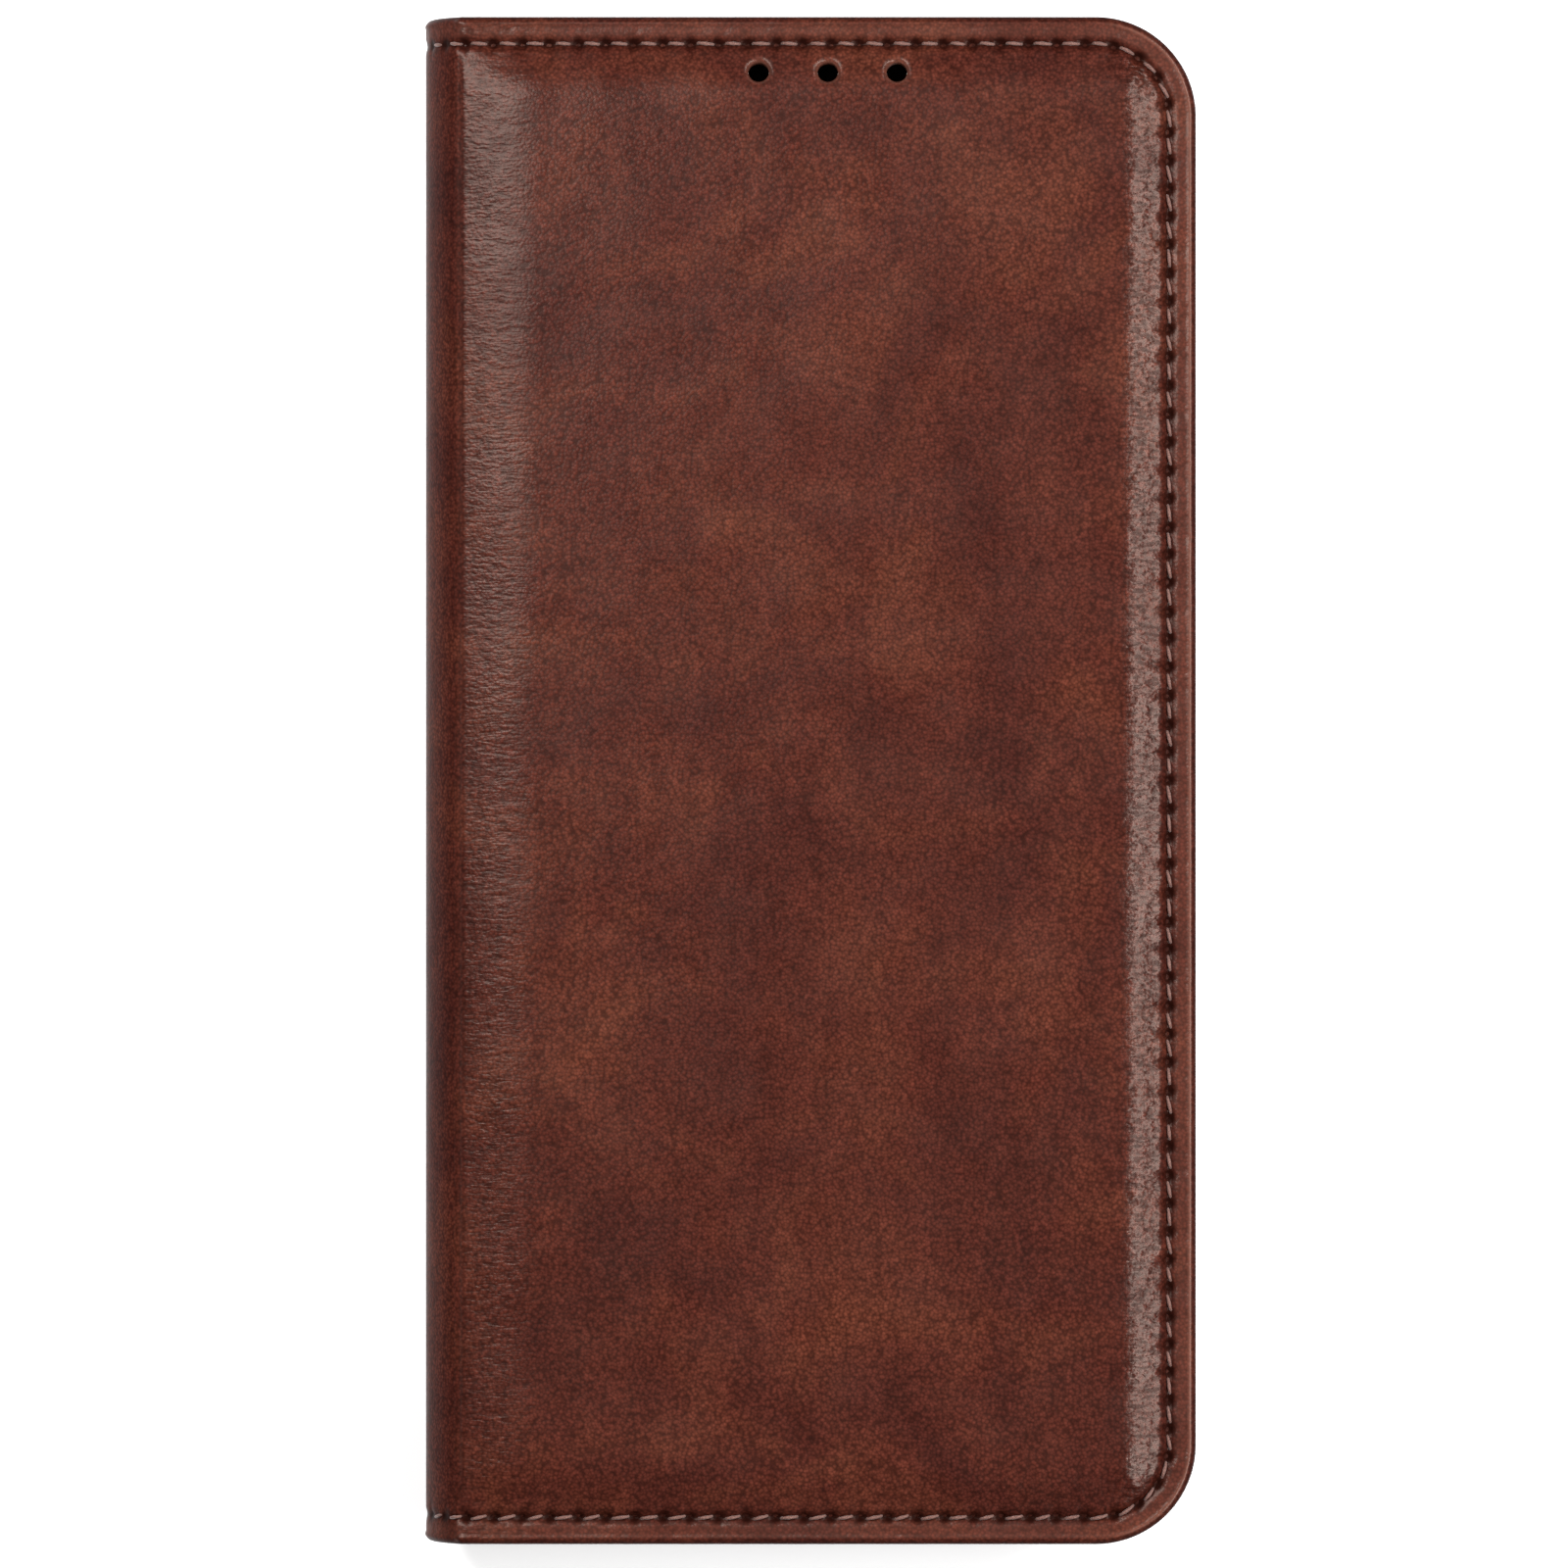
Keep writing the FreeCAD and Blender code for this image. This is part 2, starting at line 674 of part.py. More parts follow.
def stitches_along(path):
    """Short lengths of thread, evenly spaced along a wire."""
    radius = value("thread_radius")
    length = value("stitch_length")
    count = int(path.Length // value("stitch_pitch"))
    points = path.discretize(Number=2 * count + 1)
    pieces = []
    for middle in range(1, 2 * count, 2):
        along = (points[middle + 1] - points[middle - 1]).normalize()
        start = points[middle] - along * (length / 2)
        pieces.append(Part.makeCylinder(radius, length, start, along))
    return pieces


def cover_seam(level):
    """The stitch line: along one end, round the free edge and back along the other end."""
    radius = value("seam_corner")
    near = value("crease + crease_bevel")
    far = value("free_edge - seam_inset")
    end = value("half_length - seam_inset")
    bend = radius * math.sqrt(0.5)
    middle = far - radius
    turn = end - radius

    def at(across, up):
        return FreeCAD.Vector(across, up, level)

    edges = [
        Part.LineSegment(at(near, -end), at(middle, -end)),
        Part.Arc(at(middle, -end), at(middle + bend, -turn - bend), at(far, -turn)),
        Part.LineSegment(at(far, -turn), at(far, turn)),
        Part.Arc(at(far, turn), at(middle + bend, turn + bend), at(middle, end)),
        Part.LineSegment(at(middle, end), at(near, end)),
    ]
    return Part.Wire([edge.toShape() for edge in edges])


def spine_seam(along):
    """The same stitch line where it runs over the spine, at one end of the case."""
    radius = value("spine_radius - groove_depth + thread_radius")
    centre = FreeCAD.Vector(value("spine_centre"), along, value("spine_level"))
    half = math.asin(value("spine_level - stiffener_setback") / radius)
    places = []
    for angle in (-half, 0, half):
        away = FreeCAD.Vector(-radius * math.cos(angle), 0, radius * math.sin(angle))
        places.append(centre + away)
    return Part.Wire([Part.Arc(*places).toShape()])


def pocket_seams():
    """Stitches that close both ends of each card slot."""
    paths = []
    for order in (1, 2, 3):
        edge = f"crease + card_edge + {order - 1} * card_step"
        start = value(f"{edge} + pocket_seam_inset")
        end = value(f"{edge} + card_step - pocket_seam_inset")
        if order == 3:
            end = value("phone_right - pocket_seam_stop")
        level = value(f"cash_low - {order} * panel_thickness - thread_radius")
        for side in (-1, 1):
            along = value(f"{side} * (card_half - panel_inset) - card_shift")
            run = Part.LineSegment(
                FreeCAD.Vector(start, along, level), FreeCAD.Vector(end, along, level),
            )
            paths.append(Part.Wire([run.toShape()]))
    return paths


def thread(label, paths):
    feature = doc.addObject("Part::Feature", label)
    feature.Label = label
    feature.Shape = Part.makeCompound([piece for path in paths for piece in stitches_along(path)])
    feature.Placement = FreeCAD.Placement()
    return feature


def build_threads():
    sunk = value("groove_depth - thread_radius")
    seam_end = value("half_length - seam_inset")
    return [
        thread("back_seam_thread", [cover_seam(sunk)]),
        thread("front_seam_thread", [cover_seam(value("rim_top") - sunk)]),
        thread("spine_seam_thread", [spine_seam(-seam_end), spine_seam(seam_end)]),
        thread("pocket_seam_thread", pocket_seams()),
    ]


# ---------------------------------------------------------------- build, check and write

def check(parts):
    for item in doc.Objects:
        if "Invalid" in item.State or "Error" in item.State:
            raise ValueError(f"{item.Label} failed: {item.State}")
    for part in parts:
        if part.Shape.isNull() or not part.Shape.isValid():
            raise ValueError(part.Label + " has no valid shape")


parts = build_back_cover() + build_bond_pad() + build_shell()
parts += build_button("volume") + build_button("power")
parts += build_magnets() + build_spine()
parts += build_front_cover() + build_card_panels() + build_threads()
doc.recompute()
check(parts)

os.makedirs("parts", exist_ok=True)
for part in parts:
    part.Shape.exportStep(f"parts/{part.Label}.step")
    print(part.Label, len(part.Shape.Solids), round(part.Shape.Volume, 1))
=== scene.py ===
import math

import bmesh
import bpy
import numpy as np
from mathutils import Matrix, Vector


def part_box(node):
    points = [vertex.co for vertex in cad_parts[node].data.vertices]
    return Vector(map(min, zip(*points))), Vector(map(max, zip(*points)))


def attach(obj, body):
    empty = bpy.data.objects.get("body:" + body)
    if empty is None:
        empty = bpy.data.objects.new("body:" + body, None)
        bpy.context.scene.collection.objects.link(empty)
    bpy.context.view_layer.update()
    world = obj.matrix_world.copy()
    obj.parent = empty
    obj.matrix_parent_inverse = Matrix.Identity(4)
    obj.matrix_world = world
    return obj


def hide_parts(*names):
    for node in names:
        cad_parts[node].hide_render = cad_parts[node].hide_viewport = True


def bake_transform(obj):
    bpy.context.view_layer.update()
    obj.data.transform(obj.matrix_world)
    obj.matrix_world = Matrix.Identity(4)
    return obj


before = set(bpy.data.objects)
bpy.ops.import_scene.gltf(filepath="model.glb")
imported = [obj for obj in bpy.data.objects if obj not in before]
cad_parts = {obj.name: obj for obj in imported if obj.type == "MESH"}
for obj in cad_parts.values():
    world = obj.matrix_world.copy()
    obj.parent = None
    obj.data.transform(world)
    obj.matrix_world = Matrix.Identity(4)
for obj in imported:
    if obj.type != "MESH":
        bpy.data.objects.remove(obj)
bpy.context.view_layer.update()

# A closed phone wallet case that lies on its back cover, in metres. +X points to the free edge of
# the flap, the spine is on the -X side, +Y points to the phone's top and +Z to the front flap.

MM = 0.001
TINY = 1e-9

# ------ sizes from the frame

cover_low, cover_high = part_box("front_cover_leather")
foam_low, foam_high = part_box("front_foam_pad")
board_low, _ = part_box("front_board")
shell_low, shell_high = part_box("phone_shell")
spine_low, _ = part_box("spine_leather")
_, seam_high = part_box("front_seam_thread")

CREASE = cover_low.x
FREE_EDGE = cover_high.x
HALF_LENGTH = cover_high.y
RIM_TOP = cover_high.z - (foam_high.z - foam_low.z)
SKIN = RIM_TOP - foam_low.z
COVER_THICKNESS = RIM_TOP - board_low.z
PHONE_MIDDLE = (shell_low.x + shell_high.x) / 2

THREAD_RADIUS = 0.2 * MM
STITCH_PITCH = 3.1 * MM
SEAM_INSET = FREE_EDGE - seam_high.x + THREAD_RADIUS
CORNER = 11 * MM
CORNER_X = FREE_EDGE - CORNER
CORNER_Y = HALF_LENGTH - CORNER
SEAM_CORNER = CORNER - SEAM_INSET

# the spine is one arc between the outer faces of both covers
SPINE_BULGE = CREASE - spine_low.x
SPINE_LEVEL = RIM_TOP / 2
SPINE_RADIUS = (SPINE_LEVEL ** 2 + SPINE_BULGE ** 2) / (2 * SPINE_BULGE)
SPINE_CENTRE = spine_low.x + SPINE_RADIUS
CREASE_TILT = math.acos(SPINE_LEVEL / SPINE_RADIUS)
SPINE_HALF_ARC = (math.pi / 2 - CREASE_TILT) * SPINE_RADIUS
MID_SPINE = CREASE - SPINE_HALF_ARC
SPINE_THICKNESS = 1.2 * MM
FOLD_REACH = 1.2 * MM

# leather that is turned round the edge of each cover; the last is what lies past the outline when flat
EDGE_ROLL = 0.6 * MM
HEM_WIDTH = 3.6 * MM
HEM_SKIN = 0.4 * MM
TURN_LENGTH = math.pi * EDGE_ROLL + COVER_THICKNESS - 2 * EDGE_ROLL - EDGE_ROLL + HEM_WIDTH

# the padded panel
PAD_START = 3.3 * MM
PAD_ROLL = 4 * MM
PAD_BEND = 0.42
PAD_FOLD = 9 * MM
PAD_HEIGHT = 1.5 * MM
PAD_CROWN = 0.3 * MM

# the seam's relief: a groove, with a slot and a pucker at each needle hole
GROOVE_DEPTH = 0.36 * MM
GROOVE_WIDTH = 0.5 * MM
SLOT_DEPTH = 0.36 * MM
SLOT_WIDTH = 0.45 * MM
SLOT_LENGTH = 0.85 * MM
PUCKER_WIDTH = 0.45 * MM
SWELL_HEIGHT = 0.08 * MM

# the rim between the seam and the edge
BEAD_HEIGHT = 0.11 * MM
BEAD_INSET = 0.72 * MM
BEAD_WIDTH = 0.22 * MM
RIM_DROOP = 0.12 * MM
RIM_WIDTH = 1.4 * MM

# furrows at the creases, and the dip at the edge of an opening
CREASE_FURROW = 0.16 * MM
BACK_CREASE_FURROW = 0.35 * MM
OPENING_DIP = 0.32 * MM

SOUND_HOLE = 2.3 * MM
SOUND_HOLE_PITCH = 7.6 * MM
SOUND_HOLE_Y = HALF_LENGTH - 6.1 * MM
WINDOW_WIDTH = 29.6 * MM
WINDOW_LENGTH = 40.6 * MM
WINDOW_CORNER = 9.3 * MM
WINDOW_X = FREE_EDGE - 21 * MM
WINDOW_Y = HALF_LENGTH - 27 * MM

# how finely the sheets are divided; a block is a square of BLOCK by BLOCK cells
CELL = 0.31 * MM
RIM_CELL = 0.15 * MM
FOLD_CELL_SHARE = 0.7
LINING_CELL = 1.1 * MM
FOAM_CELL = 0.8 * MM
PANEL_CELL = 0.9 * MM
MOUTH_CELL = 0.25 * MM
BLOCK = 4
FINE_INSET = 8.8 * MM

LINING_INSET = 0.6 * MM
FOAM_FILM = 0.05 * MM
FOAM_SHARE = 0.75

LONGEST_SEAM = 0.2
SEED = 11
FRONT_SEAM_SEED = SEED + 3
BACK_SEAM_SEED = SEED + 6

# layers of unevenness: height, size of the bumps and seed
PAD_EDGE_WOBBLE = ((0.14 * MM, 6 * MM, SEED + 9), (0.07 * MM, 1.1 * MM, SEED + 10))
PAD_SLACK = ((0.05 * MM, 26 * MM, SEED), (0.02 * MM, 9 * MM, SEED + 1))


# ------ small helpers

def smooth(value):
    value = np.clip(value, 0, 1)
    return value * value * (3 - 2 * value)


def bell(value):
    return np.exp(-value * value)


def band(value, start, rise, end, fall):
    """0 up to start, 1 after the rise, and from end back to 0 over the fall."""
    return smooth((value - start) / rise) * (1 - smooth((value - end) / fall))


def level_off(value):
    """Rises at once from 0 and levels off at 1."""
    return 1 - (1 - np.clip(value, 0, 1)) ** 2


def ramp_up(value, bend):
    """Rises evenly from 0, then bends over to stay at 1."""
    over = np.clip(value - 1 + bend, 0, 2 * bend)
    return np.clip(value, 0, 1 - bend) + over - over ** 2 / (4 * bend)


def soft_noise(x, y, size, seed, waves=22):
    """Smooth random heights of about -1 to 1, with bumps of about the given size."""
    source = np.random.default_rng(seed)
    total = np.zeros_like(x)
    for _ in range(waves):
        turn = source.uniform(0, 2 * math.pi)
        pitch = 2 * math.pi / (size * source.uniform(0.7, 1.6))
        shift = source.uniform(0, 2 * math.pi)
        total += np.sin((x * math.cos(turn) + y * math.sin(turn)) * pitch + shift)
    return total / math.sqrt(waves * 1.5)


def soft_layers(x, y, layers):
    """Sum of soft noises, each a height, a size and a seed."""
    return sum(height * soft_noise(x, y, size, seed) for height, size, seed in layers)


def short_wrinkles(across, along, seed, count, starts, lengths, places, lean, width, depth):
    """Sum of many short furrows that run mostly across, at random places along an edge."""
    source = np.random.default_rng(seed)
    total = np.zeros_like(across)
    reach = starts[1] + lengths[1]
    near = (across > starts[0] - lengths[1] * 0.3) & (across < reach)
    across = across[near]
    along = along[near]
    part = np.zeros_like(across)
    for _ in range(count):
        start = source.uniform(*starts)
        length = source.uniform(*lengths)
        place = source.uniform(*places)
        slope = source.uniform(-lean, lean)
        wide = source.uniform(*width)
        deep = source.uniform(*depth)
        run = (across - start) / length
        line = (along - place - slope * (across - start)) / wide
        # it deepens over its first quarter and fades over its last half
        part -= deep * bell(line) * smooth(run * 4) * smooth((1 - run) * 2)
    total[near] = part
    return total


# ------ where the flat leather lies

def round_corner(across, along, strength):
    """Turns squares round the origin into circles; both distances are 0 or more."""
    size = np.maximum(across, along)
    turn = math.pi / 4 * np.minimum(across, along) / np.maximum(size, TINY)
    longer = size * np.cos(turn)
    shorter = size * np.sin(turn)
    wide = across >= along
    round_across = np.where(wide, longer, shorter)
    round_along = np.where(wide, shorter, longer)
    new_across = across + (round_across - across) * strength
    new_along = along + (round_along - along) * strength
    return new_across, new_along


def past_straight(x, y, opening):
    """How far a place is past the straight part of an opening's sides, across and along."""
    middle_x, middle_y, half_x, half_y, corner = opening
    across = np.maximum(np.abs(x - middle_x) - (half_x - corner), 0)
    along = np.maximum(np.abs(y - middle_y) - (half_y - corner), 0)
    return across, along


def round_openings(x, y, openings):
    """Bends the grid lines round openings with rounded corners."""
    for opening in openings:
        middle_x, middle_y, _, _, corner = opening
        across, along = past_straight(x, y, opening)
        reach = min(2.4 * MM, 1.6 * corner)
        strength = 1 - smooth((np.maximum(across, along) - corner) / reach)
        new_across, new_along = round_corner(across, along, strength)
        x = x + np.sign(x - middle_x) * (new_across - across)
        y = y + np.sign(y - middle_y) * (new_along - along)
    return x, y


def turned_edge(inset, thickness):
    """Path of the leather round a cover's edge: distance in from the outline, and depth."""
    run = EDGE_ROLL - inset
    quarter = EDGE_ROLL * math.pi / 2
    straight = thickness - 2 * EDGE_ROLL
    first = np.clip(run, 0, quarter) / EDGE_ROLL
    last = np.clip(run - quarter - straight, 0, quarter) / EDGE_ROLL
    hem = np.maximum(run - 2 * quarter - straight, 0)
    rolled = EDGE_ROLL * (1 - np.sin(first)) + EDGE_ROLL * (1 - np.cos(last)) + hem
    distance = np.where(run < 0, inset, rolled)
    down = np.clip(run - quarter, 0, straight)
    depth = EDGE_ROLL * (1 - np.cos(first)) + down + EDGE_ROLL * np.sin(last)
    return distance, depth


def flat_inset(x, y):
    """Distance in from the outline, on the flat leather; no more than the corner's radius."""
    return CORNER - np.maximum(np.maximum(x - CORNER_X, np.abs(y) - CORNER_Y), 0)


def cover_place(x, y, turned=False):
    """Flat place on a cover to its x, y, depth under the face and distance from the outline."""
    across = np.maximum(x - CORNER_X, 0)
    along = np.maximum(np.abs(y) - CORNER_Y, 0)
    size = np.maximum(across, along)
    inset = CORNER - size
    distance = inset
    depth = np.zeros_like(x)
    if turned:
        distance, depth = turned_edge(inset, leather_thickness_at(x))
    scale = (CORNER - distance) / np.maximum(size, TINY)
    strength = np.clip((size - 0.25 * CORNER) / (0.45 * CORNER), 0, 1)
    new_across, new_along = round_corner(across * scale, along * scale, strength)
    placed_x = np.minimum(x, CORNER_X) + new_across
    placed_y = np.sign(y) * (np.minimum(np.abs(y), CORNER_Y) + new_along)
    return placed_x, placed_y, depth, inset


def leather_thickness_at(x):
    """Thickness between the outer face and the lining: less on the spine than on a cover."""
    share = smooth((x - CREASE + FOLD_REACH) / (2 * FOLD_REACH))
    return SPINE_THICKNESS + (COVER_THICKNESS - SPINE_THICKNESS) * share


def seam_distance(x, y):
    """Length along the seam line from the middle of the free edge, on either half."""
    across = np.maximum(x - CORNER_X, 0)
    along = np.maximum(np.abs(y) - CORNER_Y, 0)
    low_turn = math.pi / 4 * along / np.maximum(across, TINY)
    high_turn = math.pi / 2 - math.pi / 4 * across / np.maximum(along, TINY)
    turn = np.where(across >= along, low_turn, high_turn)
    turn = np.where(np.maximum(across, along) < TINY, 0, turn)
    return np.minimum(np.abs(y), CORNER_Y) + turn * SEAM_CORNER + np.maximum(CORNER_X - x, 0)


def over_spine(x, y, height):
    """Carries a point of the flat front leather over the crease and round the spine."""
    past = x - CREASE
    arc_tilt = CREASE_TILT + np.maximum(-past, 0) / SPINE_RADIUS
    tilt = arc_tilt * (1 - smooth(past / (2 * FOLD_REACH) + 0.5))
    on_spine = past < 0
    base_x = np.where(on_spine, SPINE_CENTRE - SPINE_RADIUS * np.sin(arc_tilt), x)
    base_z = np.where(on_spine, SPINE_LEVEL + SPINE_RADIUS * np.cos(arc_tilt), RIM_TOP)
    return np.stack([base_x - height * np.sin(tilt), y, base_z + height * np.cos(tilt)], axis=-1)


def mirrored(points):
    """The same place on the back cover."""
    return points * np.array([1, 1, -1]) + np.array([0, 0, RIM_TOP])


# ------ relief of the leather

def nearest_needle_hole(inset, x, y, seed):
    """Distances across and along the seam from the nearest needle hole, and its own oddities."""
    source = np.random.default_rng(seed)
    count = int(LONGEST_SEAM / STITCH_PITCH)
    distance = seam_distance(x, y)
    number = np.clip(np.round(distance / STITCH_PITCH).astype(int), 0, count)
    side = (y > 0).astype(int)
    uneven = source.uniform(-1, 1, (4, 2, count + 1))[:, side, number]
    along = distance - number * STITCH_PITCH + 0.12 * MM * uneven[0]
    return inset - SEAM_INSET, along, uneven


def seam_relief(inset, x, y, seed):
    """Groove under the stitches, a slot at each needle hole and the puckers round it."""
    off, along, uneven = nearest_needle_hole(inset, x, y, seed)
    groove = -GROOVE_DEPTH * bell(off / GROOVE_WIDTH)
    slot = -SLOT_DEPTH * bell(off / SLOT_WIDTH) * bell(along / SLOT_LENGTH) ** 2
    # the pucker runs inward over the panel, and a weaker one outward over the rim
    reach = (1.5 + 0.5 * uneven[1]) * MM
    lean = along - 0.25 * uneven[2] * off
    depth = (0.3 + 0.08 * uneven[3]) * MM
    pucker = -depth * bell(lean / PUCKER_WIDTH) * band(off, 0, 0.2 * MM, 0, reach)
    outward = -0.08 * MM * bell(lean / (0.3 * MM)) * band(-off, 0, 0.2 * MM, 0, 1.2 * MM)
    # between two holes the leather swells
    swell = SWELL_HEIGHT * bell((off - 0.8 * MM) / (0.5 * MM)) * (1 - bell(along / (0.8 * MM)))
    return groove + slot + pucker + swell + outward


def leather_marks(x, y, openings, seed):
    """How much painted shade and dark edge, creasing, dullness and paleness with its painted highlight
    line the leather has at a flat place, each from 0 to 1.
    """
    past = x - CREASE
    inset = flat_inset(x, y)
    off, along, _ = nearest_needle_hole(inset, x, y, seed)
    # painted shade in the needle holes and the groove, and a dark cut edge that is partly edge dye and
    # partly painted shade
    hole = 1.2 * bell((off + 0.05 * MM) / (0.6 * MM)) * bell(along / (0.95 * MM)) ** 2
    edge = 1 - smooth((inset - 0.25 * MM) / (0.35 * MM))
    stain = np.clip(hole + 0.45 * bell(off / (0.42 * MM)) + 0.5 * edge, 0, 1)
    # fine creases beside the fold, and along the seam of the free edge
    by_fold = 0.6 * band(past, 0, 0.6 * MM, 3 * MM, 9 * MM)
    by_seam = band(inset, 3.2 * MM, 0.8 * MM, 7.4 * MM, 2 * MM) * smooth((x - CORNER_X) / (4 * MM))
    creased = np.maximum(by_fold, by_seam)
    # the spine and the cut edge have less shine
    matte = np.maximum(smooth(-past / (1 * MM)), edge)
    # the rim is rubbed lighter, and along its bead by the free edge a painted highlight line is added
    raw = 0.16 * band(inset, 0.5 * MM, 0.3 * MM, 2 * MM, 0.6 * MM)
    raw = raw + 0.75 * bell((inset - BEAD_INSET) / (0.14 * MM)) * smooth((x - CORNER_X) / (6 * MM))
    # a pale ring of raw leather shows round each opening
    for opening in openings:
        out = np.maximum(*past_straight(x, y, opening)) - opening[-1]
        raw = np.maximum(raw, 0.9 * bell((out - 0.1 * MM) / (0.13 * MM)))
    return {"stain": stain, "creased": creased, "matte": matte, "raw": raw}


def rim_relief(inset, x, y, seed):
    """Low bead between the seam and the edge, with fine pleats across it."""
    bead = BEAD_HEIGHT * bell((inset - BEAD_INSET) / BEAD_WIDTH)
    droop = -RIM_DROOP * np.clip(1 - inset / (1 * MM), 0, 1) ** 2
    distance = seam_distance(x, y) * np.where(y > 0, 1, -1)
    pleats = short_wrinkles(
        inset, distance, seed, 170, (0.3 * MM, 1.2 * MM), (1.2 * MM, 2.4 * MM),
        (-0.166, 0.166), 0.7, (0.12 * MM, 0.3 * MM), (0.02 * MM, 0.06 * MM),
    )
    wave = 0.05 * MM * soft_noise(x, y, 5 * MM, seed + 1) * bell((inset - 1.6 * MM) / (1.6 * MM))
    return bead + droop + pleats + wave


def front_relief(x, y, inset, detailed=True):
    """Height of the padded front panel, its rim and its seam over the flat cover."""
    past = x - CREASE
    on_pad = smooth((inset - PAD_START) / (3 * MM))
    wobble = soft_layers(x, y, PAD_EDGE_WOBBLE) * on_pad if detailed else 0
    side = ramp_up((inset + wobble - PAD_START) / PAD_ROLL, PAD_BEND)
    fold = level_off((past + 0.1 * MM) / PAD_FOLD)
    middle = (1 - (2 * past / (FREE_EDGE - CREASE) - 1) ** 2) * (1 - (y / HALF_LENGTH) ** 4)
    height = (PAD_HEIGHT + PAD_CROWN * np.clip(middle, 0, 1)) * side * fold
    if not detailed:
        return height
    height = height + soft_layers(x, y, PAD_SLACK) * on_pad * smooth(past / (2 * MM))
    # the crease is a narrow furrow between the spine and the panel
    height = height - CREASE_FURROW * bell(past / (0.3 * MM)) * smooth(inset / (2 * MM))
    across_fold = short_wrinkles(
        past, y, SEED + 2, 620, (0.1 * MM, 5 * MM), (1.6 * MM, 4.5 * MM),
        (-0.08, 0.08), 0.3, (0.17 * MM, 0.34 * MM), (0.004 * MM, 0.018 * MM),
    )
    height = height + across_fold * smooth((inset - PAD_START) / (2 * MM))
    # the seam is shallower on the spine
    seam = seam_relief(inset, x, y, FRONT_SEAM_SEED) * (1 - 0.65 * smooth(-past / (2 * MM)))
    return height + seam + rim_relief(inset, x, y, SEED + 4)


def back_relief(x, y, inset, detailed=True):
    """The back cover has no padding: only its seam, rim and slight unevenness."""
    if not detailed:
        return np.zeros_like(x)
    past = x - CREASE
    height = 0.02 * MM * soft_noise(x, y, 20 * MM, SEED + 5) - 0.03 * MM
    height = height - BACK_CREASE_FURROW * bell(past / (0.5 * MM)) * smooth(inset / (2 * MM))
    height = height + seam_relief(inset, x, y, BACK_SEAM_SEED) + rim_relief(inset, x, y, SEED + 7)
    return np.minimum(height, 0)


# ------ sheets built on a grid

def grid_lines(stops, cells):
    """Grid lines from stop to stop, in whole blocks of cells of about the given sizes."""
    lines = [np.array([stops[0]])]
    for start, end, cell in zip(stops, stops[1:], cells):
        count = BLOCK * max(1, round((end - start) / cell / BLOCK))
        lines.append(np.linspace(start, end, count + 1)[1:])
    return np.concatenate(lines)


def new_object(name, vertices, faces, material):
    mesh = bpy.data.meshes.new(name)
    mesh.from_pydata(vertices, [], faces)
    mesh.polygons.foreach_set("use_smooth", np.ones(len(mesh.polygons), bool))
    work = bmesh.new()
    work.from_mesh(mesh)
    bmesh.ops.recalc_face_normals(work, faces=work.faces)
    work.to_mesh(mesh)
    work.free()
    mesh.update()
    thing = bpy.data.objects.new(name, mesh)
    bpy.context.scene.collection.objects.link(thing)
    mesh.materials.append(material)
    return thing


def block_sides(column, row, stride):
    """The four sides of a block as lists of vertex numbers, in turn round it."""
    left = column * BLOCK
    low = row * BLOCK
    steps = range(BLOCK + 1)
    return [
        [low * stride + left + step for step in steps],
        [(low + step) * stride + left + BLOCK for step in steps],
        [(low + BLOCK) * stride + left + BLOCK - step for step in steps],
        [(low + BLOCK - step) * stride + left for step in steps],
    ]


def beside(row, column, kept):
    """The blocks beside a block, in the order of its sides, or None where the sheet ends."""
    rows, columns = kept.shape
    for place in ((row - 1, column), (row, column + 1), (row + 1, column), (row, column - 1)):
        inside = 0 <= place[0] < rows and 0 <= place[1] < columns
        yield place if inside and kept[place] else None


def face_of_blocks(kept, fine, stride):
    """Faces of one side of a sheet: small quads in fine blocks, one polygon in each other."""
    faces = []
    for row, column in zip(*np.nonzero(kept)):
        if fine[row, column]:
            for up in range(BLOCK):
                for over in range(BLOCK):
                    corner = (row * BLOCK + up) * stride + column * BLOCK + over
                    faces.append([corner, corner + 1, corner + stride + 1, corner + stride])
            continue
        ring = []
        for side, place in zip(block_sides(column, row, stride), beside(row, column, kept)):
            ring += side[:-1] if place and fine[place] else side[:1]
        faces.append(ring)
    return faces


def wall_faces(kept, fine_outer, fine_inner, stride, offset):
    """Faces that join both sides of a sheet round its outline and its openings."""
    faces = []
    for row, column in zip(*np.nonzero(kept)):
        for side, place in zip(block_sides(column, row, stride), beside(row, column, kept)):
            if place:
                continue
            outer = side if fine_outer[row, column] else [side[0], side[-1]]
            inner = side if fine_inner[row, column] else [side[0], side[-1]]
            if len(outer) == len(inner):
                for start, end in zip(outer, outer[1:]):
                    faces.append([end, start, start + offset, end + offset])
            else:
                faces.append(outer[::-1] + [number + offset for number in inner])
    return faces


def everywhere(x, y):
    """For a sheet that is fine all over."""
    return np.ones(x.shape, bool)


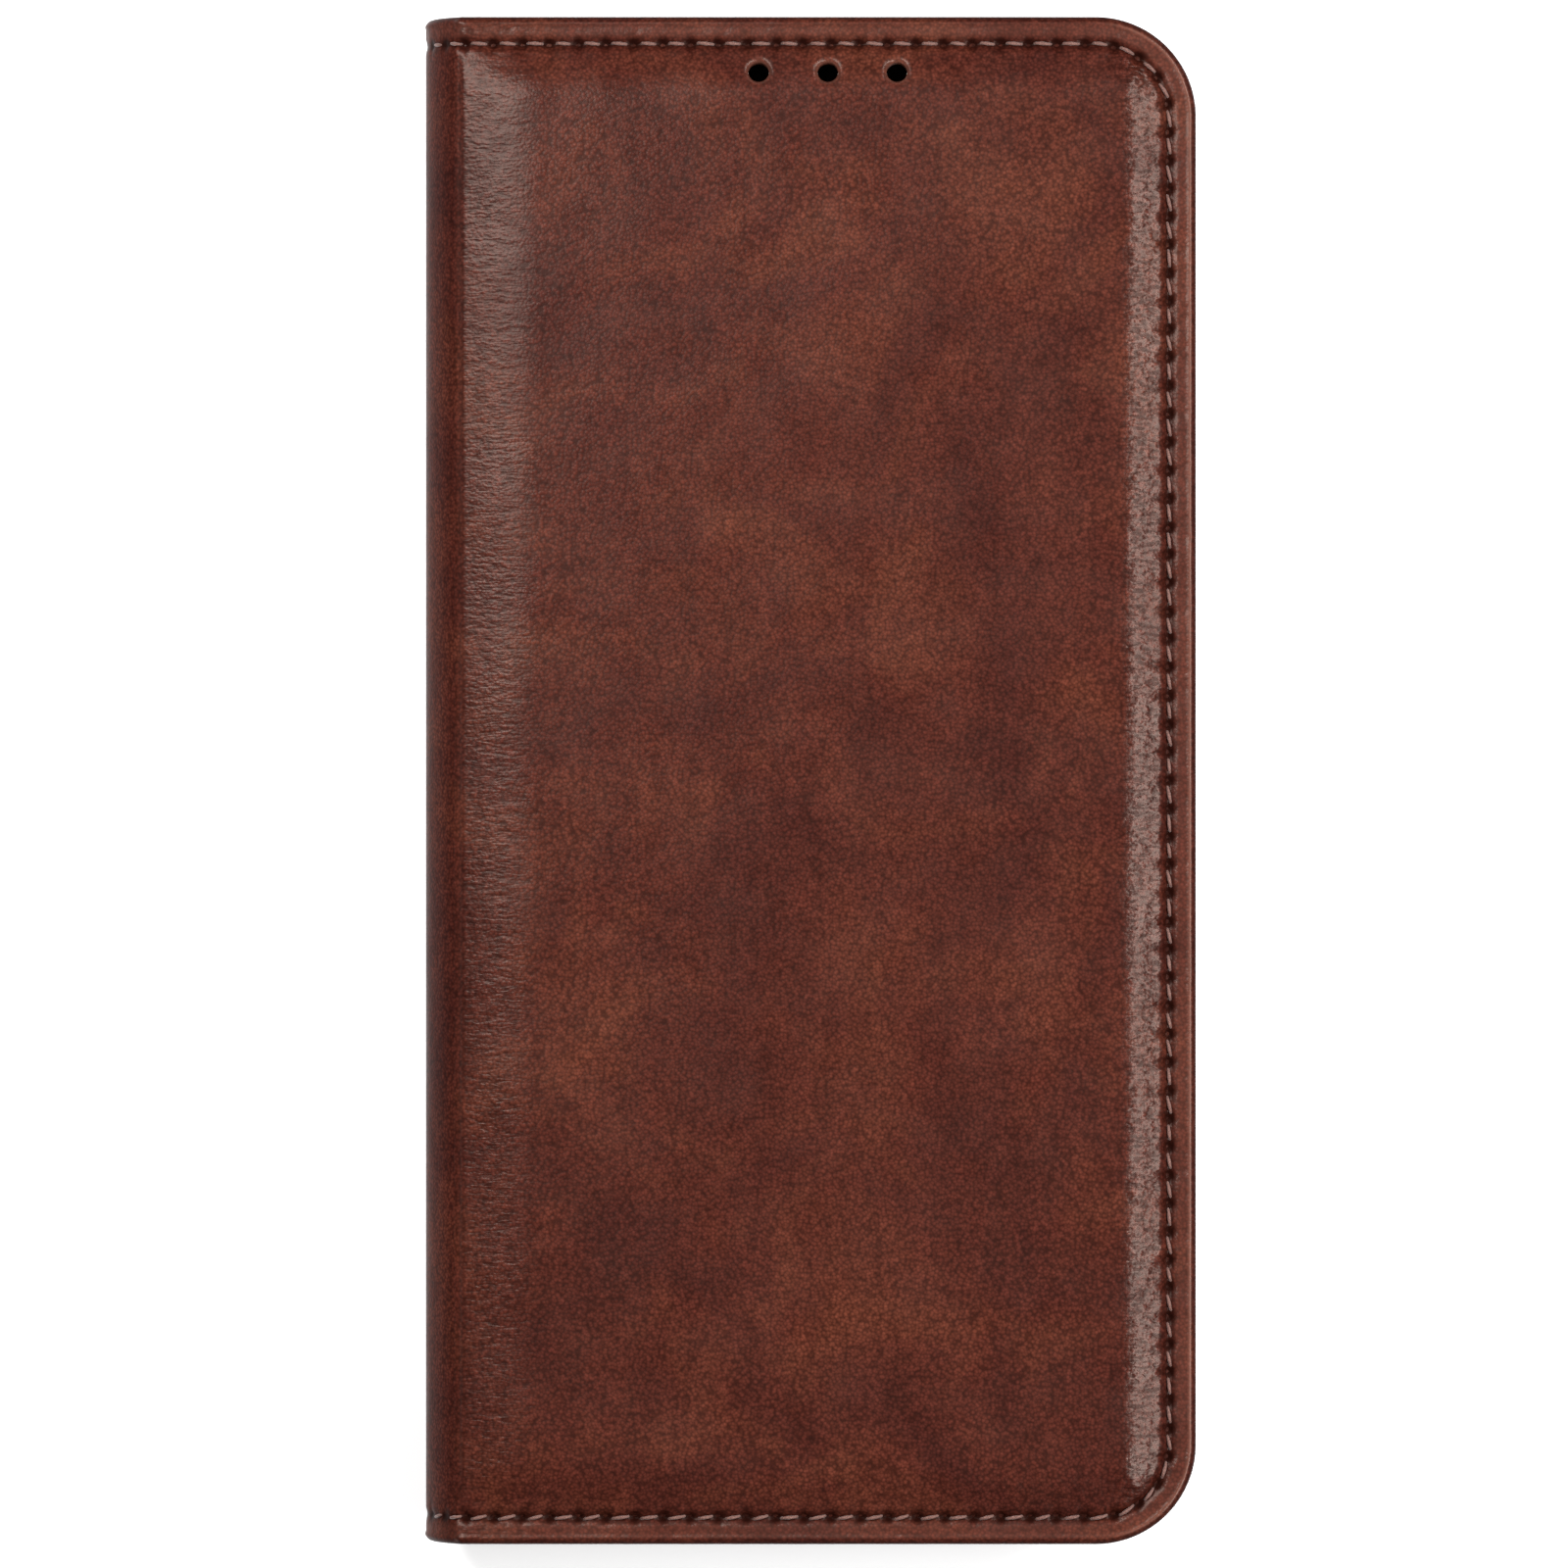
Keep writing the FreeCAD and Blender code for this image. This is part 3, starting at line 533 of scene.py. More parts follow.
def grid_sheet(
    name, xs, ys, outer, inner, material,
    fine_outer=everywhere, fine_inner=everywhere, openings=(), marks=None, flip=False,
):
    """Closed sheet between two surfaces, each a function of flat x and y."""
    flat_x, flat_y = np.meshgrid(xs, ys)
    stride = len(xs)
    middle_x = (xs[:-1:BLOCK] + xs[BLOCK::BLOCK]) / 2
    middle_y = (ys[:-1:BLOCK] + ys[BLOCK::BLOCK]) / 2
    block_x, block_y = np.meshgrid(middle_x, middle_y)
    kept = np.ones(block_x.shape, bool)
    for place_x, place_y, half_x, half_y, _ in openings:
        kept &= ~((np.abs(block_x - place_x) < half_x) & (np.abs(block_y - place_y) < half_y))
    outer_fine = fine_outer(block_x, block_y)
    inner_fine = fine_inner(block_x, block_y)
    offset = flat_x.size
    faces = face_of_blocks(kept, outer_fine, stride)
    for face in face_of_blocks(kept, inner_fine, stride):
        faces.append([number + offset for number in face[::-1]])
    faces += wall_faces(kept, outer_fine, inner_fine, stride, offset)
    points = np.concatenate([
        outer(flat_x, flat_y).reshape(-1, 3),
        inner(flat_x, flat_y).reshape(-1, 3),
    ])
    if flip:
        points = mirrored(points)
    used = np.unique(np.concatenate([np.array(face) for face in faces]))
    renumber = np.full(len(points), -1)
    renumber[used] = np.arange(len(used))
    faces = [renumber[face].tolist() for face in faces]
    sheet = new_object(name, points[used].tolist(), faces, material)
    for mark, values in (marks(flat_x, flat_y) if marks else {}).items():
        attribute = sheet.data.attributes.new(mark, "FLOAT", "POINT")
        attribute.data.foreach_set("value", np.tile(values.ravel(), 2)[used].astype(np.float32))
    return sheet


def near_openings(x, y, openings, reach):
    near = np.zeros(x.shape, bool)
    for middle_x, middle_y, half_x, half_y, _ in openings:
        near |= (np.abs(x - middle_x) < half_x + reach) & (np.abs(y - middle_y) < half_y + reach)
    return near


def base_normals(points):
    """Unit normals of a grid of points, outward for the front cover."""
    over = np.gradient(points, axis=1)
    up = np.gradient(points, axis=0)
    normals = np.cross(over, up)
    return normals / np.maximum(np.linalg.norm(normals, axis=-1, keepdims=True), TINY)


def hole_stops(openings, axis):
    """Where openings begin and end along an axis. Openings in a row share their stops."""
    return {opening[axis] + end * opening[axis + 2] for opening in openings for end in (-1, 1)}


# each opening is middle x, middle y, half width, half length and corner radius
SOUND_HOLES = [
    (PHONE_MIDDLE + number * SOUND_HOLE_PITCH, SOUND_HOLE_Y, *[SOUND_HOLE / 2] * 3)
    for number in (-1, 0, 1)
]
CAMERA_WINDOW = [(WINDOW_X, WINDOW_Y, WINDOW_WIDTH / 2, WINDOW_LENGTH / 2, WINDOW_CORNER)]


def cover_grid(openings, right, top, cell):
    """Grid lines over a cover and its half of the spine. Right and top are the sheet's reach."""
    x_stops = {MID_SPINE, CREASE - 1.6 * MM, CREASE + 4 * MM, CORNER_X, right}
    x_stops = sorted(x_stops | hole_stops(openings, 0))
    y_stops = sorted({-top, -CORNER_Y, CORNER_Y, top} | hole_stops(openings, 1))
    x_cells = [cell * (FOLD_CELL_SHARE if abs(start - CREASE) < 2 * MM else 1) for start in x_stops[:-1]]
    y_cells = [cell] * (len(y_stops) - 1)
    if right > FREE_EDGE:
        # a sheet that is turned under has a finer rim
        x_stops[-1:] = [FREE_EDGE - RIM_WIDTH, FREE_EDGE, right]
        x_cells[-1:] = [cell, RIM_CELL, cell]
        y_stops[1:1] = [-HALF_LENGTH, RIM_WIDTH - HALF_LENGTH]
        y_stops[-1:-1] = [HALF_LENGTH - RIM_WIDTH, HALF_LENGTH]
        y_cells = [cell, RIM_CELL, *y_cells, RIM_CELL, cell]
    return grid_lines(x_stops, x_cells), grid_lines(y_stops, y_cells)


def cover_skin(name, relief, openings, flip, seam_seed):
    """Outer leather of one cover with its half of the spine, turned under at its edges."""
    xs, ys = cover_grid(openings, FREE_EDGE + TURN_LENGTH, HALF_LENGTH + TURN_LENGTH, CELL)

    def outer(x, y, detailed=True):
        warped_x, warped_y = round_openings(x, y, openings)
        placed_x, placed_y, depth, inset = cover_place(warped_x, warped_y, turned=True)
        height = relief(warped_x, warped_y, inset, detailed)
        if detailed:
            height = height + opening_relief(placed_x, placed_y, openings)
        return over_spine(placed_x, placed_y, height - depth)

    def inner(x, y):
        base = outer(x, y, detailed=False)
        skin = HEM_SKIN + (SKIN - HEM_SKIN) * smooth((flat_inset(x, y) - 0.2 * MM) / (1 * MM))
        return base - base_normals(base) * skin[..., None]

    def fine_outer(x, y):
        inset = np.minimum(FREE_EDGE - x, HALF_LENGTH - np.abs(y))
        folded = np.abs(x - CREASE - 3.5 * MM) < 6.5 * MM
        return (inset < FINE_INSET) | folded | near_openings(x, y, openings, 2.6 * MM)

    def fine_inner(x, y):
        return near_openings(x, y, openings, 1.5 * MM)

    def marks(x, y):
        return leather_marks(x, y, openings, seam_seed)

    return grid_sheet(
        name, xs, ys, outer, inner, brown_leather, fine_outer, fine_inner, openings, marks, flip,
    )


def opening_relief(x, y, openings):
    """The leather dips a little at the cut edge of an opening."""
    height = np.zeros_like(x)
    for opening in openings:
        out = np.hypot(*past_straight(x, y, opening)) - opening[-1]
        height -= OPENING_DIP * np.clip(1 - out / (0.45 * MM), 0, 1) ** 2
    return height


def lining_sheet(name, thickness, openings, flip):
    """Lining that lies under the leather, over one cover and its half of the spine."""
    right = FREE_EDGE - LINING_INSET
    top = HALF_LENGTH - LINING_INSET
    xs, ys = cover_grid(openings, right, top, LINING_CELL)

    def surface(x, y, extra, wave):
        warped_x, warped_y = round_openings(x, y, openings)
        placed_x, placed_y, _, _ = cover_place(warped_x, warped_y)
        edge = np.minimum(right - x, top - np.abs(y))
        dip = extra + wave * soft_noise(x, y, 17 * MM, SEED + 8) * smooth(edge / (5 * MM))
        return over_spine(placed_x, placed_y, -leather_thickness_at(placed_x) - dip)

    return grid_sheet(
        name, xs, ys, lambda x, y: surface(x, y, 0, 0),
        lambda x, y: surface(x, y, thickness, 0.03 * MM), suede, openings=openings, flip=flip,
    )


# ------ stitches

def tubes(centres, normals, radius, sides=10):
    """Closed tubes along rows of centre points; centres and normals are (tube, ring, 3)."""
    along = np.gradient(centres, axis=1)
    along /= np.linalg.norm(along, axis=-1, keepdims=True)
    across = np.cross(along, normals)
    across /= np.linalg.norm(across, axis=-1, keepdims=True)
    up = np.cross(across, along)
    count, rings = centres.shape[:2]
    run = np.linspace(-1, 1, rings)[None, :, None]
    turn = np.linspace(0, 2 * math.pi, sides, endpoint=False)[None, None, :]
    size = radius * (1 - 0.22 * np.abs(run) ** 4) * (1 + 0.13 * np.cos(2 * turn - 5 * run))
    points = (
        centres[:, :, None] + across[:, :, None] * (size * np.cos(turn))[..., None]
        + up[:, :, None] * (size * np.sin(turn))[..., None]
    )
    faces = []
    for tube in range(count):
        first = tube * rings * sides
        for ring in range(rings - 1):
            for step in range(sides):
                here = first + ring * sides + step
                beside = first + ring * sides + (step + 1) % sides
                faces.append([here, beside, beside + sides, here + sides])
        faces.append([first + step for step in range(sides)][::-1])
        last = first + (rings - 1) * sides
        faces.append([last + step for step in range(sides)])
    return points.reshape(-1, 3), faces


def seam_point(distance, inset, side):
    """Flat place on the seam, by its length from the middle of the free edge."""
    size = CORNER - inset
    bend = SEAM_CORNER * math.pi / 2
    turn = np.clip(distance - CORNER_Y, 0, bend) / SEAM_CORNER
    low = turn < math.pi / 4
    across = np.where(low, size, size * (math.pi / 2 - turn) / (math.pi / 4))
    along = np.where(low, size * turn / (math.pi / 4), size)
    x = CORNER_X + across - np.maximum(distance - CORNER_Y - bend, 0)
    y = side * (np.minimum(distance, CORNER_Y) + along)
    return x, y


def stitch_profile(rings, rise, dive):
    """Each stitch arches over the leather and dives into a needle hole at both ends."""
    run = np.linspace(-1, 1, rings)
    return run, rise * (1 - np.abs(run) ** 2.5) - dive * np.abs(run) ** 7


def cover_stitches(name, flip, seed):
    """Stitches round one cover, from the middle of its free edge to the middle of the spine."""
    source = np.random.default_rng(seed)
    run, arch = stitch_profile(9, 0.2 * MM, 0.8 * MM)
    length = CORNER_Y + SEAM_CORNER * math.pi / 2 + CORNER_X - MID_SPINE
    count = int(length / STITCH_PITCH - 0.5)
    middles = (np.arange(count) + 0.5) * STITCH_PITCH

    def uneven(mean, change):
        """A length for each stitch, in metres from millimetres."""
        return (mean + change * source.uniform(-1, 1, count)) * MM

    rows = []
    for side in (-1, 1):
        reach = uneven(0.92, 0.12)
        slant = uneven(0.17, 0.08)
        if side > 0:
            # along the top edge they lean less, and the other way
            slant = slant * np.where(middles > CORNER_Y + SEAM_CORNER, -0.4, 1)
        place = middles + uneven(0, 0.08)
        distance = place[:, None] + reach[:, None] * run[None, :]
        inset = SEAM_INSET + side * slant[:, None] * run[None, :]
        x, y = seam_point(distance, inset, side)
        height = arch[None, :] - uneven(0.27, 0.06)[:, None]
        placed_x, placed_y, _, _ = cover_place(x, y)
        low = over_spine(placed_x, placed_y, height)
        high = over_spine(placed_x, placed_y, height + MM)
        rows.append((low, high - low))
    centres = np.concatenate([row[0] for row in rows])
    normals = np.concatenate([row[1] for row in rows])
    points, faces = tubes(centres, normals, 0.18 * MM)
    if flip:
        points = mirrored(points)
    return new_object(name, points.tolist(), faces, thread)


def straight_stitches(name, runs, seed):
    """Stitch rows on the inner panels, which face down when the case is closed."""
    source = np.random.default_rng(seed)
    run, arch = stitch_profile(9, 0.22 * MM, 0.5 * MM)
    centres = []
    for start, end, across, face in runs:
        count = int((end - start) / STITCH_PITCH)
        pitch = (end - start) / max(count, 1)
        for number in range(count):
            middle = start + (number + 0.5) * pitch
            reach = 0.36 * pitch * (1 + 0.06 * source.uniform(-1, 1))
            x = middle + reach * run
            y = across + 0.09 * MM * run
            z = face - 0.02 * MM - arch
            centres.append(np.stack([x, y, z], axis=-1))
    centres = np.array(centres)
    normals = np.broadcast_to(np.array([0, 0, -1.0]), centres.shape)
    points, faces = tubes(centres, normals, 0.19 * MM, sides=8)
    return new_object(name, points.tolist(), faces, thread)


# ------ pocket panels

def pocket_panel(name, low, high, openings, seed, rounded):
    """Leather panel with a folded edge at its mouth, which faces the spine."""
    x_stops = {low.x, low.x + 4 * MM, high.x}
    y_stops = {low.y, low.y + 4 * MM, high.y - 4 * MM, high.y}
    if rounded:
        x_stops.add(CORNER_X)
        y_stops = {low.y, -CORNER_Y, CORNER_Y, high.y}
    x_stops = sorted(x_stops | hole_stops(openings, 0))
    y_stops = sorted(y_stops | hole_stops(openings, 1))
    xs = grid_lines(x_stops, [MOUTH_CELL] + [PANEL_CELL] * (len(x_stops) - 2))
    ys = grid_lines(y_stops, [PANEL_CELL] * (len(y_stops) - 1))

    def surface(x, y, level, facing):
        placed_x, placed_y = round_openings(x, y, openings)
        if rounded:
            placed_x, placed_y, _, _ = cover_place(placed_x, placed_y)
        inset = x - low.x
        edge = np.minimum(np.minimum(inset, high.x - x), np.minimum(high.y - y, y - low.y))
        roll = 0.16 * MM * np.clip(1 - edge / (0.2 * MM), 0, 1) ** 2
        if facing:
            fold_end = 0.05 * MM * smooth((inset - 2.9 * MM) / (0.5 * MM))
            tooled = 0.12 * MM * bell((inset - 1.6 * MM) / (0.2 * MM))
            slack = 0.03 * MM * soft_noise(x, y, 14 * MM, seed) * smooth(edge / (5 * MM))
            return np.stack([placed_x, placed_y, level + roll + fold_end + tooled + slack], axis=-1)
        return np.stack([placed_x, placed_y, level - roll], axis=-1)

    return grid_sheet(
        name, xs, ys, lambda x, y: surface(x, y, high.z, False),
        lambda x, y: surface(x, y, low.z, True), pocket_leather, openings=openings,
    )


# ------ materials

# shades that the leather's dye is multiplied by, at positions on a ramp
STREAK_SHADES = [(0.36, (0.7, 0.66, 0.64)), (0.5, (1, 1, 1)), (0.66, (1.22, 1.2, 1.18))]
# the pores make the pebble tops lighter and the gaps between them darker: partly the grain's own tone
# and partly painted highlight and shade
PORE_TONE_GLINT_AND_SHADE = [(0.0, (1.35, 1.35, 1.35)), (0.3, (1.1, 1.1, 1.1)), (0.75, (0.52, 0.48, 0.46))]
RUB_SHADES = [(0.36, (0.7, 0.66, 0.64)), (0.5, (1, 1, 1)), (0.68, (1.5, 1.55, 1.6))]
# colour of rubbed and raw leather, and of the painted highlight line on the bead
PALE_AND_HIGHLIGHT_COLOUR = (0.2, 0.08, 0.055)
# colour of the painted shade, and of the partly dyed, partly shaded cut edge
SHADE_AND_DYE_COLOUR = (0.012, 0.003, 0.002)
WARM_SHINE = (1, 0.8, 0.7, 1)
FINISH_IOR = 1.33
DULL_SHINE = 0.03
MARKS = ("stain", "creased", "matte", "raw")

THREAD_COLOURS = [
    (0.3, (0.05, 0.016, 0.011)), (0.5, (0.12, 0.046, 0.033)), (0.72, (0.27, 0.14, 0.105)),
]
NICKEL_COLOURS = [(0.3, (0.5, 0.49, 0.46)), (0.7, (0.68, 0.67, 0.64))]
FLOOR_COLOURS = [(0.3, (0.86, 0.86, 0.86)), (0.7, (0.9, 0.9, 0.9))]

def new_material(name):
    material = bpy.data.materials.new(name)
    material.use_nodes = True
    shader = material.node_tree.nodes["Principled BSDF"]
    return material, material.node_tree, shader


def set_inputs(tree, node, inputs):
    """Gives each named input of a node its number or colour, or links it to an output."""
    for key, value in inputs.items():
        if isinstance(value, bpy.types.NodeSocket):
            tree.links.new(value, node.inputs[key])
        else:
            node.inputs[key].default_value = value


def object_place(tree, stretch=(1, 1, 1), turn=0.0):
    """Object coordinates, stretched and turned about Z."""
    place = tree.nodes.new("ShaderNodeTexCoord")
    mapping = tree.nodes.new("ShaderNodeMapping")
    inputs = {"Vector": place.outputs["Object"], "Scale": stretch, "Rotation": (0, 0, turn)}
    set_inputs(tree, mapping, inputs)
    return mapping.outputs["Vector"]


def mark_value(tree, mark):
    """One of the values that leather_marks stored on the mesh."""
    node = tree.nodes.new("ShaderNodeAttribute")
    node.attribute_name = mark
    return node.outputs["Fac"]


def noise(tree, vector, size, detail=2.0, roughness=0.5, distortion=0.0):
    """Noise whose bumps are about the given size in metres."""
    node = tree.nodes.new("ShaderNodeTexNoise")
    set_inputs(tree, node, {
        "Vector": vector, "Scale": 1 / size,
        "Detail": detail, "Roughness": roughness, "Distortion": distortion,
    })
    return node.outputs["Fac"]


def cells(tree, vector, size, feature="F1"):
    """Distance from the middle of the nearest cell, in cells of about the given size."""
    node = tree.nodes.new("ShaderNodeTexVoronoi")
    node.feature = feature
    set_inputs(tree, node, {"Vector": vector, "Scale": 1 / size})
    return node.outputs["Distance"]


def ramp(tree, value, stops):
    """Maps a value to colours; stops are (position, colour)."""
    node = tree.nodes.new("ShaderNodeValToRGB")
    elements = node.color_ramp.elements
    elements[0].position, elements[0].color = stops[0][0], (*stops[0][1], 1)
    elements[1].position, elements[1].color = stops[-1][0], (*stops[-1][1], 1)
    for position, colour in stops[1:-1]:
        elements.new(position).color = (*colour, 1)
    tree.links.new(value, node.inputs["Fac"])
    return node.outputs["Color"]


def spread(tree, value, low, high, new_low, new_high):
    """Maps the range from low to high to a new one."""
    node = tree.nodes.new("ShaderNodeMapRange")
    set_inputs(tree, node, {
        "Value": value, "From Min": low, "From Max": high, "To Min": new_low, "To Max": new_high,
    })
    return node.outputs["Result"]


def calculate(tree, operation, first, second):
    node = tree.nodes.new("ShaderNodeMath")
    node.operation = operation
    tree.links.new(first, node.inputs[0])
    tree.links.new(second, node.inputs[1])
    return node.outputs["Value"]


def mix_colours(tree, share, first, second, blend="MIX"):
    node = tree.nodes.new("ShaderNodeMix")
    node.data_type = "RGBA"
    node.blend_type = blend
    for key, entry in (("Factor", share), ("A", first), ("B", second)):
        socket = [item for item in node.inputs if item.name == key and item.enabled][0]
        if isinstance(entry, (int, float)):
            socket.default_value = entry
        elif isinstance(entry, tuple):
            socket.default_value = (*entry, 1)
        else:
            tree.links.new(entry, socket)
    return [item for item in node.outputs if item.enabled][0]


def bump(tree, height, distance, before=None):
    node = tree.nodes.new("ShaderNodeBump")
    set_inputs(tree, node, {"Height": height, "Distance": distance})
    if before is not None:
        tree.links.new(before, node.inputs["Normal"])
    return node.outputs["Normal"]


def leather_material(name, dark, middle, light, rough=0.31, grain=0.36 * MM, depth=0.014 * MM):
    """Pebbled leather with mottled dye, creased, dulled and rubbed by its marks. It has painted shade in
    its holes, groove and furrows, a dark cut edge that is partly dye and partly painted shade, and
    painted highlights on the pebble tops and along the bead.
    """
    shine = 0.55
    material, tree, shader = new_material(name)
    place = object_place(tree)
    slanted = object_place(tree, (1, 0.22, 1), math.radians(-38))
    patches = noise(tree, place, 16 * MM, 5, 0.62, 0.6)
    colour = ramp(tree, patches, [(0.34, dark), (0.5, middle), (0.68, light)])
    streaks = noise(tree, slanted, 1.6 * MM, 5, 0.65, 0.4)
    pores = cells(tree, place, grain)
    rubbed = noise(tree, place, 0.7 * MM, 4, 0.7, 0.3)
    # streaks and rubbed patches are the dye's own tone; the pores paint the pebble tops lighter and the
    # gaps darker, partly grain tone and partly painted highlight and shade
    for share, pattern, shades in (
        (0.45, streaks, STREAK_SHADES), (1.0, pores, PORE_TONE_GLINT_AND_SHADE), (0.8, rubbed, RUB_SHADES),
    ):
        colour = mix_colours(tree, share, colour, ramp(tree, pattern, shades), "MULTIPLY")
    stain, creased, matte, raw = [mark_value(tree, mark) for mark in MARKS]
    furrows = noise(tree, object_place(tree, (0.25, 1, 1)), 0.42 * MM, 1, 0.5, 0.4)
    # painted shade in the bottoms of the fine furrows, where the leather is creased
    furrow_shade = calculate(tree, "MULTIPLY", spread(tree, furrows, 0.4, 0.53, 0.5, 0), creased)
    stain = calculate(tree, "MAXIMUM", stain, furrow_shade)
    # paler where the rim is rubbed and round the openings, with a painted highlight line along the bead
    # by the free edge
    colour = mix_colours(tree, spread(tree, raw, 0, 1, 0, 0.6), colour, PALE_AND_HIGHLIGHT_COLOUR)
    # painted shade in the needle holes, groove and furrows, and the dark cut edge, partly edge dye and
    # partly painted shade
    colour = mix_colours(tree, stain, colour, SHADE_AND_DYE_COLOUR)
    rough_map = noise(tree, place, 7 * MM, 4, 0.6)
    dull = calculate(tree, "MAXIMUM", stain, matte)
    folds = cells(tree, place, 2.6 * grain, "SMOOTH_F1")
    normal = bump(tree, noise(tree, place, 2.2 * MM, 3, 0.55), 0.025 * MM)
    normal = bump(tree, calculate(tree, "MULTIPLY", furrows, creased), 0.1 * MM, normal)
    normal = bump(tree, folds, -0.012 * MM, normal)
    normal = bump(tree, spread(tree, pores, 0, 0.75, 1, 0), depth, normal)
    normal = bump(tree, noise(tree, place, 0.12 * MM, 2, 0.6), 0.003 * MM, normal)
    set_inputs(tree, shader, {
        "Base Color": colour, "Normal": normal, "IOR": FINISH_IOR, "Specular Tint": WARM_SHINE,
        "Roughness": spread(tree, rough_map, 0.3, 0.7, rough - 0.04, rough + 0.05),
        "Specular IOR Level": spread(tree, dull, 0, 1, shine, DULL_SHINE),
    })
    return material


def thread_material():
    """Pinkish brown thread, mottled by fine fibres."""
    material, tree, shader = new_material("pale_thread")
    fibres = noise(tree, object_place(tree), 0.09 * MM, 3, 0.6)
    set_inputs(tree, shader, {
        "Base Color": ramp(tree, fibres, THREAD_COLOURS), "Roughness": 0.62,
        "Sheen Weight": 0.25, "Normal": bump(tree, fibres, 0.03 * MM),
    })
    return material


def suede_material():
    """Fine brown microfibre lining with a soft nap."""
    material, tree, shader = new_material("suede_lining")
    place = object_place(tree)
    nap = noise(tree, object_place(tree, (1, 0.5, 1), 0.4), 0.28 * MM, 4, 0.7)
    tufts = noise(tree, place, 9 * MM, 4, 0.6)
    base = ramp(tree, tufts, [(0.35, (0.075, 0.034, 0.022)), (0.65, (0.115, 0.056, 0.038))])
    fuzz = ramp(tree, nap, [(0.3, (0.72, 0.7, 0.68)), (0.7, (1.25, 1.22, 1.2))])
    set_inputs(tree, shader, {
        "Base Color": mix_colours(tree, 0.8, base, fuzz, "MULTIPLY"), "Roughness": 0.92,
        "Sheen Weight": 0.5, "Sheen Roughness": 0.5, "Normal": bump(tree, nap, 0.05 * MM),
    })
    return material


def plastic_material(name, colour, rough, grain):
    """Moulded rubbery plastic with an even spark-eroded texture."""
    material, tree, shader = new_material(name)
    place = object_place(tree)
    texture = noise(tree, place, grain, 3, 0.6)
    cloud = noise(tree, place, 12 * MM, 3, 0.5)
    low = tuple(channel * 0.8 for channel in colour)
    high = tuple(channel * 1.25 for channel in colour)
    set_inputs(tree, shader, {
        "Base Color": ramp(tree, cloud, [(0.35, low), (0.65, high)]),
        "Roughness": spread(tree, texture, 0.3, 0.7, rough - 0.06, rough + 0.08),
        "Specular IOR Level": 0.3, "Normal": bump(tree, texture, 0.02 * MM),
    })
    return material


def fibre_material(name, colour, size):
    """Pressed board, foam or bond pad, with visible fibres."""
    material, tree, shader = new_material(name)
    fibres = noise(tree, object_place(tree), size, 5, 0.7)
    low = tuple(channel * 0.65 for channel in colour)
    high = tuple(min(1, channel * 1.3) for channel in colour)
    set_inputs(tree, shader, {
        "Base Color": ramp(tree, fibres, [(0.3, low), (0.7, high)]), "Roughness": 0.88,
        "Normal": bump(tree, fibres, 0.05 * MM),
    })
    return material


def metal_material():
    """Nickel plate, brushed along one way."""
    material, tree, shader = new_material("nickel_plate")
    brushed = noise(tree, object_place(tree, (1, 12, 1)), 0.5 * MM, 3, 0.6)
    set_inputs(tree, shader, {
        "Base Color": ramp(tree, brushed, NICKEL_COLOURS), "Metallic": 1.0,
        "Roughness": spread(tree, brushed, 0.3, 0.7, 0.24, 0.4),
    })
    return material


def floor_material():
    """Nearly white paper that glows a little, so that it shows as the photo's white ground."""
    material, tree, shader = new_material("pale_floor")
    cloud = noise(tree, object_place(tree), 0.6, 2, 0.5)
    set_inputs(tree, shader, {
        "Base Color": ramp(tree, cloud, FLOOR_COLOURS), "Roughness": 0.9,
        "Emission Color": (1, 1, 1, 1), "Emission Strength": 0.3,
    })
    return material


brown_leather = leather_material(
    "brown_leather", (0.042, 0.0082, 0.0054), (0.057, 0.0118, 0.0070), (0.079, 0.0192, 0.0100),
)
pocket_leather = leather_material(
    "pocket_leather", (0.066, 0.022, 0.015), (0.094, 0.031, 0.021), (0.118, 0.040, 0.026),
    rough=0.48, grain=0.4 * MM, depth=0.03 * MM,
)
thread = thread_material()
suede = suede_material()
black_shell = plastic_material("black_shell", (0.018, 0.018, 0.019), 0.5, 0.16 * MM)
board = fibre_material("grey_board", (0.24, 0.21, 0.18), 0.5 * MM)
foam = fibre_material("pale_foam", (0.62, 0.58, 0.5), 0.3 * MM)
adhesive = fibre_material("clear_bond", (0.55, 0.5, 0.4), 0.8 * MM)
stiffener = plastic_material("dark_stiffener", (0.05, 0.045, 0.04), 0.55, 0.3 * MM)
nickel = metal_material()


# ------ pieces

# the two ends of the bend between the front cover and the spine
BLEND_ON_COVER = (CREASE + 0.3 * MM, 0, RIM_TOP - 0.6 * MM)
BLEND_ON_SPINE = (CREASE - 3.2 * MM, 0, RIM_TOP - 3.6 * MM)


def bend_with_cover(piece, flip):
    """The piece crosses the crease between the spine and one cover."""
    on_cover = Vector(BLEND_ON_COVER)
    on_spine = Vector(BLEND_ON_SPINE)
    if flip:
        on_cover.z = RIM_TOP - on_cover.z
        on_spine.z = RIM_TOP - on_spine.z
        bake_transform(piece)
    else:
        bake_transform(piece)


def build_leather():
    front = cover_skin("front_leather", front_relief, SOUND_HOLES, False, FRONT_SEAM_SEED)
    back = cover_skin("back_leather", back_relief, CAMERA_WINDOW, True, BACK_SEAM_SEED)
    for piece, flip in ((front, False), (back, True)):
        bend_with_cover(piece, flip)
    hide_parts("front_cover_leather", "spine_leather")
    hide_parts("back_cover_leather", "spine_leather")


